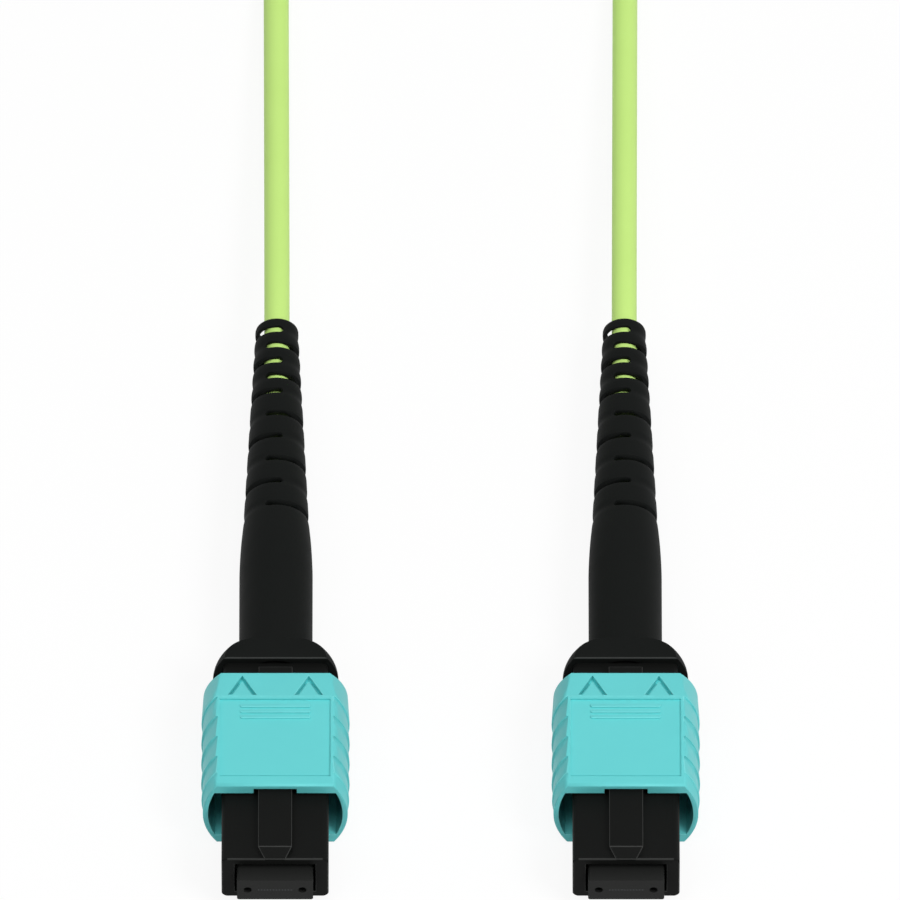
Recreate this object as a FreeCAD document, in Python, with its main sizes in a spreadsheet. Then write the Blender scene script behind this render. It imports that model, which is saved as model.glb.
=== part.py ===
import FreeCAD, Part
import math
import os
import re
import Sketcher

# Fibre optic patch cable: two push-on plugs for a row of fibres, on one round cable with its middle coiled.
# Millimetres, +Z up. The plugs lie side by side on the floor with their axes along Y, ferrules towards -Y.
# The origin is on the floor, midway between the plugs and midway along them.

V = FreeCAD.Vector

# Driving dimensions: the value of each cell of the sheet, and what it measures
SIZES = {
    "plug_spacing": (29.5, "between the axes of the two plugs"),
    "plug_length": (61.0, "ferrule tip to boot mouth"),
    "fit_gap": (0.05, "around pieces pushed into each other"),
    "seat_gap": (0.02, "between faces that come to rest on each other"),
    "slide_gap": (0.15, "around pieces that slide past each other"),
    "float_gap": (0.12, "around the floating ferrule"),

    "ferrule_width": (6.4, "ferrule body"),
    "ferrule_height": (2.5, "ferrule body"),
    "ferrule_length": (8.0, "tip to rear face"),
    "ferrule_reach": (1.3, "ferrule tip ahead of the plug frame"),
    "shoulder_side": (0.3, "ferrule's rear shoulder, beyond its sides"),
    "shoulder_rise": (0.25, "ferrule's rear shoulder, beyond its top and bottom"),
    "shoulder_length": (2.0, "ferrule's rear shoulder"),
    "ferrule_corner": (0.2, "corner radius of the ferrule's section"),
    "ferrule_travel": (1.0, "how far the ferrule is pushed back in use"),
    "pin_bore": (0.7, "guide pin bore"),
    "pin_spacing": (4.6, "between the guide pin bores"),
    "fibre_count": (12, "fibres in the row"),
    "fibre_diameter": (0.125, "glass fibre"),
    "fibre_gap": (0.004, "around a fibre in its hole"),
    "fibre_pitch": (0.25, "between neighbouring fibres"),
    "fibre_hole_length": (2.2, "fibre holes behind the tip"),
    "glue_window_width": (2.9, "window in the top of the ferrule"),
    "glue_window_length": (2.0, "window in the top of the ferrule"),
    "glue_window_setback": (2.9, "tip to window"),

    "ribbon_width": (3.05, "twelve fibres side by side"),
    "ribbon_thickness": (0.32, "coated fibre ribbon"),
    "bundle_width": (1.3, "fibres gathered for the cable"),
    "bundle_height": (0.9, "fibres gathered for the cable"),
    "gather_length": (3.0, "ribbon narrowing to the bundle"),
    "bundle_clearance": (0.5, "fibre bundle's end to the cable jacket, ferrule pushed back"),
    "sock_wall": (0.11, "rubber sock around the ribbon"),
    "sock_length": (2.4, "rubber sock around the ribbon"),
    "sock_insertion": (1.6, "rubber sock inside the ferrule"),
    "keeper_inset": (0.1, "pin keeper inside the outline of the ferrule's shoulder"),
    "keeper_length": (2.4, "pin keeper behind the ferrule"),

    "frame_side_wall": (0.8, "side walls of the plug frame"),
    "frame_top_wall": (0.55, "top and bottom walls of the plug frame"),
    "frame_corner": (0.5, "corner radius of the frame's section"),
    "frame_chamfer": (0.12, "front edges of the frame"),
    "nose_side_gap": (0.2, "frame's mouth, beside the ferrule"),
    "nose_top_gap": (0.55, "frame's mouth, above and below the ferrule"),
    "nose_depth": (2.2, "frame's mouth"),
    "cavity_side_gap": (0.2, "spring chamber, beside the ferrule's shoulder"),
    "cavity_top_gap": (0.1, "spring chamber, above and below the ferrule spring"),
    "cavity_corner": (0.3, "spring chamber of the frame"),
    "key_width": (2.85, "key along the top of the frame"),
    "key_height": (0.7, "key above the top of the frame"),
    "key_nose_width": (1.7, "narrow front end of the key"),
    "key_nose_length": (0.83, "sloping front end of the key"),
    "latch_setback": (3.4, "frame front to side latch recess"),
    "latch_length": (3.0, "side latch recess"),
    "latch_height": (3.2, "side latch recess"),
    "latch_depth": (0.5, "side latch recess"),
    "channel_height": (1.8, "side channel for a coupling spring"),
    "channel_depth": (0.45, "side channel for a coupling spring"),
    "channel_web": (0.42, "between a side channel and a barb of the back post"),

    "ferrule_spring_diameter": (3.7, "outside of the ferrule spring"),
    "ferrule_spring_wire": (0.4, "wire of the ferrule spring"),
    "ferrule_spring_turns": (5.0, "turns of the ferrule spring"),
    "coupling_spring_diameter": (1.4, "outside of a coupling spring"),
    "coupling_spring_wire": (0.22, "wire of a coupling spring"),
    "coupling_spring_turns": (6.0, "turns of a coupling spring"),
    "coupling_spring_gap": (0.1, "each side of a coupling spring"),
    "spring_sides": (10, "flat sides in a turn of a spring"),

    "sleeve_length": (12.45, "coupling sleeve"),
    "sleeve_setback": (6.9, "frame front to sleeve front"),
    "sleeve_travel": (1.6, "how far the sleeve is pulled back"),
    "sleeve_stop_gap": (0.35, "boot to the sleeve when it is pulled back"),
    "sleeve_gap": (0.25, "frame to the sleeve's top and bottom walls"),
    "sleeve_top_wall": (1.1, "top and bottom walls of the sleeve"),
    "sleeve_side_wall": (0.6, "side walls of the sleeve"),
    "sleeve_corner_gap": (0.6, "frame to the corners of the sleeve's opening"),
    "sleeve_flat_inset": (0.075, "outside flat inside the opening's flat, each side"),
    "sleeve_edge": (0.25, "rounding of the sleeve's front edge"),
    "key_slot_gap": (0.375, "each side of the key in the sleeve"),
    "key_slot_top_gap": (0.12, "above the key in the sleeve"),
    "panel_margin": (0.375, "each side of the sunk panel on the sleeve"),
    "panel_setback": (1.0, "sleeve front to panel"),
    "panel_depth": (0.2, "sunk panel on the sleeve"),
    "collar_length": (2.8, "rear collar behind the panel"),
    "collar_drop": (0.35, "slope of the rear collar's top and bottom"),
    "collar_taper": (0.15, "slope of the rear collar's sides"),
    "collar_narrowing": (0.45, "each side of the rear collar's flat"),
    "rib_count": (4, "grip ribs on each side"),
    "rib_height": (0.15, "grip ribs"),
    "rim_length": (1.4, "front rim of the sleeve, level with the foot of the ribs"),
    "rib_sweep": (100.0, "grip ribs around a side, in degrees"),
    "lug_setback": (3.0, "sleeve front to drive lug"),
    "lug_length": (1.3, "drive lug inside the sleeve"),

    "post_shank_length": (4.6, "back post inside the frame"),
    "post_flange_inset": (0.1, "back post's flange inside the frame's outline"),
    "post_flange_thickness": (1.0, "back post's flange"),
    "passage_side_gap": (0.275, "back post, beside the ribbon"),
    "passage_top_gap": (0.45, "back post, above and below the fibre bundle"),
    "post_tube_bore": (3.3, "crimp tube"),
    "post_tube_wall": (0.5, "crimp tube"),
    "barb_setback": (1.6, "post front to snap barb"),
    "barb_length": (1.8, "snap barb"),
    "barb_height": (1.4, "snap barb"),
    "barb_reach": (0.5, "snap barb"),

    "yarn_thickness": (0.16, "aramid yarn spread over the crimp tube"),
    "yarn_margin": (0.3, "crimp ring left free of yarn at its ends"),
    "ring_wall": (0.35, "crimp ring"),
    "ring_setback": (0.6, "boot front to crimp ring"),
    "ring_length": (7.3, "wide part of the crimp ring"),
    "ring_shoulder": (2.0, "cone of the crimp ring"),
    "ring_neck": (4.5, "narrow part of the crimp ring"),

    "boot_flange_rim": (0.8, "domed flange of the boot, beyond the frame"),
    "boot_flange_band": (0.05, "straight edge of the flange"),
    "boot_wall": (0.35, "barrel of the boot around the crimp ring"),
    "boot_barrel_end": (13.3, "boot front to the start of its taper"),
    "boot_shoulder_length": (6.4, "steep taper behind the barrel"),
    "boot_tail_wall": (1.125, "start of the boot's slotted tail"),
    "boot_tip_wall": (0.28, "boot mouth"),
    "boot_tip_bevel": (0.2, "bevelled edge of the boot mouth"),
    "boot_bore_gap": (0.45, "around the cable in the boot"),
    "slot_setback": (1.25, "boot mouth to the first slot"),
    "slot_fine_count": (4, "slots near the mouth"),
    "slot_fine_pitch": (1.75, "between slots near the mouth"),
    "slot_fine_width": (0.85, "slots near the mouth"),
    "slot_coarse_count": (6, "slots further in"),
    "slot_coarse_pitch": (2.56, "between slots further in"),
    "slot_coarse_width": (0.5, "slots further in"),
    "slot_left_reach": (0.55, "slots cut from the left, past the axis"),
    "slot_right_reach": (0.95, "slots cut from the right, past the axis"),

    "cable_diameter": (2.15, "cable jacket"),
    "jacket_insertion": (4.0, "cable jacket inside the crimp ring's neck"),
    "lead_straight": (6.0, "boot mouth to where the cable starts to sag"),
    "lead_landing": (41.0, "boot mouth to where the cable meets the floor"),
    "coil_distance": (66.0, "boot mouth to the middle of the coil"),
    "coil_diameter": (27.6, "coil, at the middle of its turns"),
    "coil_layers": (3, "turns across the coil's bundle and up it"),
    "coil_slack": (0.3, "room between the turns of the coil, in all"),
    "coil_bevel": (0.8, "cut corners of the coil's bundle"),
    "coil_overlap": (4.0, "coil's middle to where a lead joins it"),
    "tie_thickness": (0.5, "strap around the coil"),
    "tie_angle": (32.0, "part of the coil under the strap, in degrees"),
    "tie_margin": (1.0, "coil left free beside the strap, in degrees"),
}

# Sections that several pieces share
SHOULDER_WIDTH = "(ferrule_width + 2 * shoulder_side)"
SHOULDER_HEIGHT = "(ferrule_height + 2 * shoulder_rise)"
SOCK_WIDTH = "(ribbon_width + 2 * fit_gap + 2 * sock_wall)"
SOCK_HEIGHT = "(ribbon_thickness + 2 * fit_gap + 2 * sock_wall)"
CAVITY_WIDTH = f"({SHOULDER_WIDTH} + 2 * cavity_side_gap)"
CAVITY_HEIGHT = "(ferrule_spring_diameter + 2 * cavity_top_gap)"
FRAME_WIDTH = f"({CAVITY_WIDTH} + 2 * frame_side_wall)"
FRAME_HEIGHT = f"({CAVITY_HEIGHT} + 2 * frame_top_wall)"
KEY_TOP = f"({FRAME_HEIGHT} / 2 + key_height)"
CHANNEL_FLOOR = f"({FRAME_WIDTH} / 2 - channel_depth)"
MOUTH_WIDTH = f"(2 * ({CHANNEL_FLOOR} + coupling_spring_diameter + 2 * coupling_spring_gap))"
MOUTH_FLAT = f"({FRAME_WIDTH} + 2 * sleeve_corner_gap)"
MOUTH_HEIGHT = f"({FRAME_HEIGHT} + 2 * sleeve_gap)"
SLEEVE_WIDTH = f"({MOUTH_WIDTH} + 2 * sleeve_side_wall)"
SLEEVE_FLAT = f"({MOUTH_FLAT} - 2 * sleeve_flat_inset)"
SLEEVE_HEIGHT = f"({MOUTH_HEIGHT} + 2 * sleeve_top_wall)"
AXIS_HEIGHT = f"({SLEEVE_HEIGHT} / 2)"
PANEL_LENGTH = "(sleeve_length - panel_setback - collar_length)"
POST_TUBE = "(post_tube_bore + 2 * post_tube_wall)"
RING_BORE = f"({POST_TUBE} + 2 * yarn_thickness + 4 * seat_gap)"
RING_OUTSIDE = f"({RING_BORE} + 2 * ring_wall)"
NECK_BORE = "(cable_diameter + 2 * seat_gap)"
NECK_OUTSIDE = f"({NECK_BORE} + 2 * ring_wall)"
BOOT_FLANGE = f"({FRAME_WIDTH} + 2 * boot_flange_rim)"
BOOT_BARREL = f"({RING_OUTSIDE} + 2 * fit_gap + 2 * boot_wall)"
BOOT_BORE = "(cable_diameter + 2 * boot_bore_gap)"
BOOT_TAIL = f"({BOOT_BORE} + 2 * boot_tail_wall)"
BOOT_TIP = f"({BOOT_BORE} + 2 * boot_tip_wall)"
COIL_SECTION = "(coil_layers * cable_diameter + coil_slack)"
COIL_MIDDLE = ("coil_diameter / 2", f"{COIL_SECTION} / 2")
OUTER_TURN = f"(coil_diameter / 2 + ({COIL_SECTION} - cable_diameter) / 2)"

# Stations along a plug, measured back from the ferrule tip
SHOULDER_FRONT = "(ferrule_length - shoulder_length)"
SOCK_REAR = "(ferrule_length - sock_insertion + sock_length)"
SPRING_FRONT = "(ferrule_length + keeper_length)"
SLEEVE_FRONT = "(ferrule_reach + sleeve_setback)"
LUG_FRONT = f"({SLEEVE_FRONT} + lug_setback)"
CHANNEL_FRONT = f"({LUG_FRONT} - seat_gap)"
BOOT_FRONT = f"({SLEEVE_FRONT} + sleeve_length + sleeve_travel + sleeve_stop_gap)"
FRAME_REAR = f"({BOOT_FRONT} - post_flange_thickness)"
FRAME_LENGTH = f"({FRAME_REAR} - ferrule_reach)"
POST_FRONT = f"({FRAME_REAR} - post_shank_length)"
CHANNEL_REAR = f"({POST_FRONT} + barb_setback - channel_web)"
RING_FRONT = f"({BOOT_FRONT} + ring_setback)"
NECK_FRONT = f"({RING_FRONT} + ring_length + ring_shoulder)"
NECK_REAR = f"({NECK_FRONT} + ring_neck)"
JACKET_FRONT = f"({NECK_REAR} - jacket_insertion)"
BOOT_LENGTH = f"(plug_length - {BOOT_FRONT})"

doc = FreeCAD.newDocument("patch_cable")
sheet = doc.addObject("Spreadsheet::Sheet", "Sizes")
nodes = []


def fill_sheet():
    """Write each driving dimension to a cell of its own, named by an alias."""
    for row, (name, (size, note)) in enumerate(SIZES.items(), start=1):
        sheet.set(f"A{row}", name)
        sheet.set(f"B{row}", str(size))
        sheet.setAlias(f"B{row}", name)
        sheet.set(f"C{row}", note)
    doc.recompute()


def formula(text):
    """An expression on the sheet's cells, from one written with their plain names."""
    return re.sub(r"[a-z]\w*", lambda name: f"Sizes.{name[0]}" if name[0] in SIZES else name[0], text)


def value(text):
    """The present value of a formula."""
    return float(sheet.evalExpression(formula(text)))


def bind(item, name, text):
    """Tie a property to a formula."""
    item.setExpression(name, formula(text))


def new_body(label, x, station):
    """A body whose own origin is on a plug's axis, at a station behind the ferrule tip."""
    body = doc.addObject("PartDesign::Body", label)
    body.Label = label
    place_on_axis(body, x, station)
    return body


def place_on_axis(item, x, station):
    """Put a piece's own origin on a plug's axis, at a station behind the ferrule tip."""
    bind(item, "Placement.Base.x", x)
    bind(item, "Placement.Base.y", f"{station} - plug_length / 2")
    bind(item, "Placement.Base.z", AXIS_HEIGHT)
    nodes.append(item)


def origin_item(body, role):
    """One of the body's own origin planes or axes."""
    return next(item for item in body.Origin.OriginFeatures if item.Role == role)


def new_sketch(body, name, role, offset="0"):
    """A sketch on one of the body's origin planes, moved along that plane's normal."""
    sketch = body.newObject("Sketcher::SketchObject", name)
    sketch.AttachmentSupport = [(origin_item(body, role), "")]
    sketch.MapMode = "FlatFace"
    if offset != "0":
        bind(sketch, "AttachmentOffset.Base.z", offset)
    return sketch


def section(body, name, station="0"):
    """A sketch across the plug's axis, so many millimetres behind the body's front."""
    return new_sketch(body, name, "XZ_Plane", f"-({station})")


def named_constraint(sketch, constraint, text):
    """Add a dimension and tie it to a formula."""
    index = sketch.addConstraint(constraint)
    sketch.renameConstraint(index, f"size_{index}")
    bind(sketch, f"Constraints.size_{index}", text)


def fix_point(sketch, geometry, end, x, y):
    """Hold one point of a sketch at two formulas."""
    named_constraint(sketch, Sketcher.Constraint("DistanceX", -1, 1, geometry, end, value(x)), x)
    named_constraint(sketch, Sketcher.Constraint("DistanceY", -1, 1, geometry, end, value(y)), y)


def arc_between(start, end, radius, turn):
    """The short arc from start to end; turn is 1 where it bends left, -1 where it bends right."""
    chord = end - start
    left = V(-chord.y, chord.x, 0).normalize() * turn
    rise = radius - math.sqrt(max(radius ** 2 - (chord.Length / 2) ** 2, 0))
    return Part.Arc(start, (start + end) / 2 - left * rise, end)


def end_at(sketch, geometry, point):
    """Which end of an edge lies at a point."""
    return 1 if (sketch.getPoint(geometry, 1) - point).Length < 1e-6 else 2


def add_outline(sketch, corners, arcs=None):
    """A closed outline through corners; arcs maps a corner to (radius, turn) of the edge that leaves it."""
    arcs = arcs or {}
    points = [V(value(x), value(y), 0) for x, y in corners]
    edges = []
    for index, start in enumerate(points):
        end = points[(index + 1) % len(points)]
        if index in arcs:
            radius, turn = arcs[index]
            edges.append(sketch.addGeometry(arc_between(start, end, value(radius), turn)))
        else:
            edges.append(sketch.addGeometry(Part.LineSegment(start, end)))
    for index, edge in enumerate(edges):
        near = end_at(sketch, edge, points[index])
        before = edges[index - 1]
        last = end_at(sketch, before, points[index])
        sketch.addConstraint(Sketcher.Constraint("Coincident", before, last, edge, near))
        fix_point(sketch, edge, near, *corners[index])
    for index, (radius, _) in arcs.items():
        named_constraint(sketch, Sketcher.Constraint("Radius", edges[index], value(radius)), radius)


def add_rectangle(sketch, left, right, bottom, top):
    """A rectangle between four formulas."""
    add_outline(sketch, [(left, bottom), (right, bottom), (right, top), (left, top)])


def add_centred(sketch, width, height):
    """A rectangle around the sketch's origin."""
    add_rectangle(sketch, f"-({width}) / 2", f"({width}) / 2", f"-({height}) / 2", f"({height}) / 2")


def add_rounded(sketch, width, height, radius, x="0", y="0"):
    """A rectangle with round corners around a point."""
    right, top = f"({x} + {width} / 2)", f"({y} + {height} / 2)"
    left, bottom = f"({x} - {width} / 2)", f"({y} - {height} / 2)"
    corners = [
        (f"{left} + {radius}", bottom), (f"{right} - {radius}", bottom),
        (right, f"{bottom} + {radius}"), (right, f"{top} - {radius}"),
        (f"{right} - {radius}", top), (f"{left} + {radius}", top),
        (left, f"{top} - {radius}"), (left, f"{bottom} + {radius}"),
    ]
    add_outline(sketch, corners, {index: (radius, 1) for index in (1, 3, 5, 7)})


def add_bevelled(sketch, size, bevel, x, y):
    """A square with cut corners around a point."""
    right, top = f"({x} + {size} / 2)", f"({y} + {size} / 2)"
    left, bottom = f"({x} - {size} / 2)", f"({y} - {size} / 2)"
    corners = [
        (f"{left} + {bevel}", bottom), (f"{right} - {bevel}", bottom),
        (right, f"{bottom} + {bevel}"), (right, f"{top} - {bevel}"),
        (f"{right} - {bevel}", top), (f"{left} + {bevel}", top),
        (left, f"{top} - {bevel}"), (left, f"{bottom} + {bevel}"),
    ]
    add_outline(sketch, corners)


def add_circle(sketch, diameter, x="0", y="0"):
    """A circle around a point."""
    circle = sketch.addGeometry(Part.Circle(V(value(x), value(y), 0), V(0, 0, 1), value(diameter) / 2))
    fix_point(sketch, circle, 3, x, y)
    named_constraint(sketch, Sketcher.Constraint("Diameter", circle, value(diameter)), diameter)


def pad(body, sketch, length, symmetric=False, reverse=True):
    """Raise a sketch by a length: from a cross section towards the cable, or to both sides."""
    feature = body.newObject("PartDesign::Pad", f"{sketch.Name}_pad")
    feature.Profile = sketch
    bind(feature, "Length", length)
    feature.SideType = "Symmetric" if symmetric else "One side"
    feature.Reversed = reverse and not symmetric
    doc.recompute()
    return feature


def pocket(body, sketch, length=None, symmetric=False, reverse=False):
    """Cut a sketch into the body, right through where no length is given."""
    before = body.Shape.Volume
    feature = body.newObject("PartDesign::Pocket", f"{sketch.Name}_pocket")
    feature.Profile = sketch
    if length is None:
        feature.Type = "ThroughAll"
    else:
        bind(feature, "Length", length)
    feature.SideType = "Symmetric" if symmetric else "One side"
    feature.Reversed = reverse
    doc.recompute()
    require_cut(body, feature, before)
    return feature


def groove(body, sketch, axis, angle):
    """Cut a sketch into the body along an arc around an axis, to both sides of the sketch."""
    before = body.Shape.Volume
    feature = body.newObject("PartDesign::Groove", f"{sketch.Name}_groove")
    feature.Profile = sketch
    feature.ReferenceAxis = axis
    bind(feature, "Angle", angle)
    feature.Midplane = True
    doc.recompute()
    require_cut(body, feature, before)
    return feature


def require_cut(body, feature, before):
    """Stop where a cut took nothing away."""
    if body.Shape.Volume > before - 1e-7:
        raise RuntimeError(f"{body.Label}: {feature.Name} cuts nothing")


def revolve(body, sketch, axis, angle="360"):
    """Turn a sketch around an axis, to both sides of the sketch."""
    feature = body.newObject("PartDesign::Revolution", f"{sketch.Name}_revolution")
    feature.Profile = sketch
    feature.ReferenceAxis = axis
    bind(feature, "Angle", angle)
    feature.Midplane = True
    doc.recompute()
    return feature


def add_loft(body, name, first, last):
    """Add material that runs straight from one section to another."""
    loft = body.newObject("PartDesign::AdditiveLoft", name)
    loft.Profile = first
    loft.Sections = [last]
    loft.Ruled = True
    doc.recompute()


def mirror(body, features, role):
    """Repeat features on the other side of one of the body's origin planes."""
    before = body.Shape.Volume
    feature = body.newObject("PartDesign::Mirrored", f"{features[0].Name}_mirrored")
    feature.Originals = features
    feature.MirrorPlane = (origin_item(body, role), [""])
    body.Tip = feature
    doc.recompute()
    if abs(body.Shape.Volume - before) < 1e-7:
        raise RuntimeError(f"{body.Label}: {feature.Name} changes nothing")
    return feature


def edges_where(body, test):
    """The names of the body's edges, in its own frame, for which a test holds."""
    return [f"Edge{index}" for index, edge in enumerate(body.Tip.Shape.Edges, start=1) if test(edge)]


def soften(body, kind, names, size):
    """Fillet or chamfer the named edges of the body as it is so far."""
    base = body.Tip
    feature = body.newObject(f"PartDesign::{kind}", f"{body.Name}_{kind}")
    feature.Base = (base, names)
    bind(feature, "Radius" if kind == "Fillet" else "Size", size)
    doc.recompute()
    return feature


def on_front(edge):
    """Whether an edge lies on the body's front face."""
    return abs(edge.BoundBox.YMin) < 1e-6 and abs(edge.BoundBox.YMax) < 1e-6


def make_ferrule(mark, x):
    """Ferrule: a rectangular block with a rear shoulder, two guide pin bores and a row of fibre holes."""
    body = new_body(f"ferrule_{mark}", x, "0")
    block = section(body, f"ferrule_block_{mark}")
    add_rounded(block, "ferrule_width", "ferrule_height", "ferrule_corner")
    pad(body, block, "ferrule_length")
    shoulder = section(body, f"ferrule_shoulder_{mark}", SHOULDER_FRONT)
    add_rounded(shoulder, SHOULDER_WIDTH, SHOULDER_HEIGHT, "ferrule_corner")
    pad(body, shoulder, "shoulder_length")
    chamber = section(body, f"ferrule_chamber_{mark}", "fibre_hole_length")
    add_centred(chamber, f"{SOCK_WIDTH} + 2 * fit_gap", f"{SOCK_HEIGHT} + 2 * fit_gap")
    pocket(body, chamber)
    window = new_sketch(body, f"ferrule_window_{mark}", "XY_Plane")
    window_half = "glue_window_width / 2"
    window_end = "glue_window_setback + glue_window_length"
    add_rectangle(window, f"-{window_half}", window_half, "glue_window_setback", window_end)
    pocket(body, window, "ferrule_height", reverse=True)
    bores = section(body, f"ferrule_bores_{mark}")
    for side in ("-", ""):
        add_circle(bores, "pin_bore", f"{side}pin_spacing / 2")
    pocket(body, bores)
    holes = section(body, f"ferrule_holes_{mark}")
    for place in fibre_places():
        add_circle(holes, "fibre_diameter + 2 * fibre_gap", place)
    pocket(body, holes, "fibre_hole_length")


def fibre_places():
    """Where each fibre of the row lies, from the plug's axis."""
    return [f"({index} - (fibre_count - 1) / 2) * fibre_pitch" for index in range(int(value("fibre_count")))]


def make_fibre_ribbon(mark, x):
    """Fibre ribbon: flat from the ferrule's fibre holes to its sock, gathered to a bundle behind it."""
    body = new_body(f"fibre_ribbon_{mark}", x, "0")
    flat_start = "(fibre_hole_length + fit_gap)"
    flat = section(body, f"ribbon_flat_{mark}", flat_start)
    add_centred(flat, "ribbon_width", "ribbon_thickness")
    pad(body, flat, f"{SOCK_REAR} - {flat_start}")
    wide = section(body, f"ribbon_wide_{mark}", SOCK_REAR)
    add_centred(wide, "ribbon_width", "ribbon_thickness")
    narrow = section(body, f"ribbon_narrow_{mark}", f"{SOCK_REAR} + gather_length")
    add_centred(narrow, "bundle_width", "bundle_height")
    add_loft(body, f"ribbon_gather_{mark}", wide, narrow)
    bundle = section(body, f"ribbon_bundle_{mark}", f"{SOCK_REAR} + gather_length")
    add_centred(bundle, "bundle_width", "bundle_height")
    bundle_end = f"({JACKET_FRONT} - ferrule_travel - bundle_clearance)"
    pad(body, bundle, f"{bundle_end} - {SOCK_REAR} - gather_length")


def make_ferrule_sock(mark, x):
    """Rubber sock that holds the ribbon where it enters the ferrule."""
    body = new_body(f"ferrule_sock_{mark}", x, "ferrule_length - sock_insertion")
    tube = section(body, f"sock_tube_{mark}")
    add_centred(tube, SOCK_WIDTH, SOCK_HEIGHT)
    add_centred(tube, "ribbon_width + 2 * fit_gap", "ribbon_thickness + 2 * fit_gap")
    pad(body, tube, "sock_length")


def make_pin_keeper(mark, x):
    """Pin keeper: a plate behind the ferrule that the ribbon and the two pin bores pass through."""
    body = new_body(f"pin_keeper_{mark}", x, "ferrule_length")
    plate = section(body, f"keeper_plate_{mark}")
    inset = "2 * keeper_inset"
    add_rounded(plate, f"({SHOULDER_WIDTH} - {inset})", f"({SHOULDER_HEIGHT} - {inset})", "ferrule_corner")
    pad(body, plate, "keeper_length")
    passage = section(body, f"keeper_passage_{mark}")
    add_centred(passage, f"{SOCK_WIDTH} + 2 * slide_gap", f"{SOCK_HEIGHT} + 4 * slide_gap")
    pocket(body, passage)
    holes = section(body, f"keeper_holes_{mark}")
    for side in ("-", ""):
        add_circle(holes, "pin_bore", f"{side}pin_spacing / 2")
    pocket(body, holes)


def make_plug_frame(mark, x):
    """Plug frame: the square inner housing with its key, spring chamber, latch recesses and side channels."""
    body = new_body(f"plug_frame_{mark}", x, "ferrule_reach")
    shell = section(body, f"frame_shell_{mark}")
    add_rounded(shell, FRAME_WIDTH, FRAME_HEIGHT, "frame_corner")
    pad(body, shell, FRAME_LENGTH)
    soften(body, "Chamfer", edges_where(body, on_front), "frame_chamfer")
    add_key(body, mark)

    mouth = section(body, f"frame_mouth_{mark}")
    add_centred(mouth, "ferrule_width + 2 * nose_side_gap", "ferrule_height + 2 * nose_top_gap")
    pocket(body, mouth, "nose_depth")
    throat = section(body, f"frame_throat_{mark}")
    add_centred(throat, "ferrule_width + 2 * float_gap", "ferrule_height + 2 * float_gap")
    seat = f"({SHOULDER_FRONT} - seat_gap - ferrule_reach)"
    pocket(body, throat, seat)
    chamber = section(body, f"frame_chamber_{mark}", seat)
    add_rounded(chamber, CAVITY_WIDTH, CAVITY_HEIGHT, "cavity_corner")
    pocket(body, chamber)

    side = f"{FRAME_WIDTH} / 2"
    recess = new_sketch(body, f"frame_recess_{mark}", "YZ_Plane", side)
    latch_end = "latch_setback + latch_length"
    add_rectangle(recess, "latch_setback", latch_end, "-latch_height / 2", "latch_height / 2")
    latch = pocket(body, recess, "latch_depth")
    track_start = f"{CHANNEL_FRONT} - ferrule_reach"
    track = new_sketch(body, f"frame_track_{mark}", "YZ_Plane", side)
    track_end = f"{CHANNEL_REAR} - ferrule_reach"
    add_rectangle(track, track_start, track_end, "-channel_height / 2", "channel_height / 2")
    channel = pocket(body, track, "channel_depth")
    catch = new_sketch(body, f"frame_catch_{mark}", "YZ_Plane", side)
    catch_start = f"({POST_FRONT} - ferrule_reach + barb_setback - fit_gap)"
    catch_end = f"{catch_start} + barb_length + 2 * fit_gap"
    catch_height = "(barb_height / 2 + fit_gap)"
    add_rectangle(catch, catch_start, catch_end, f"-{catch_height}", catch_height)
    window = pocket(body, catch, "frame_side_wall + fit_gap")
    mirror(body, [latch, channel, window], "YZ_Plane")


def add_key(body, mark):
    """The key along the top of the frame: its front end narrows and slopes down to the frame's edge."""
    key = new_sketch(body, f"frame_key_{mark}", "XY_Plane", f"{FRAME_HEIGHT} / 2 - frame_corner")
    corners = [
        ("-key_nose_width / 2", "0"), ("key_nose_width / 2", "0"),
        ("key_width / 2", "key_nose_length"), ("key_width / 2", FRAME_LENGTH),
        ("-key_width / 2", FRAME_LENGTH), ("-key_width / 2", "key_nose_length"),
    ]
    add_outline(key, corners)
    pad(body, key, "key_height + frame_corner", reverse=False)
    slope = new_sketch(body, f"frame_key_slope_{mark}", "YZ_Plane")
    add_outline(slope, [("0", f"{FRAME_HEIGHT} / 2"), ("key_nose_length", KEY_TOP), ("0", KEY_TOP)])
    pocket(body, slope, "2 * key_width", symmetric=True)


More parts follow.
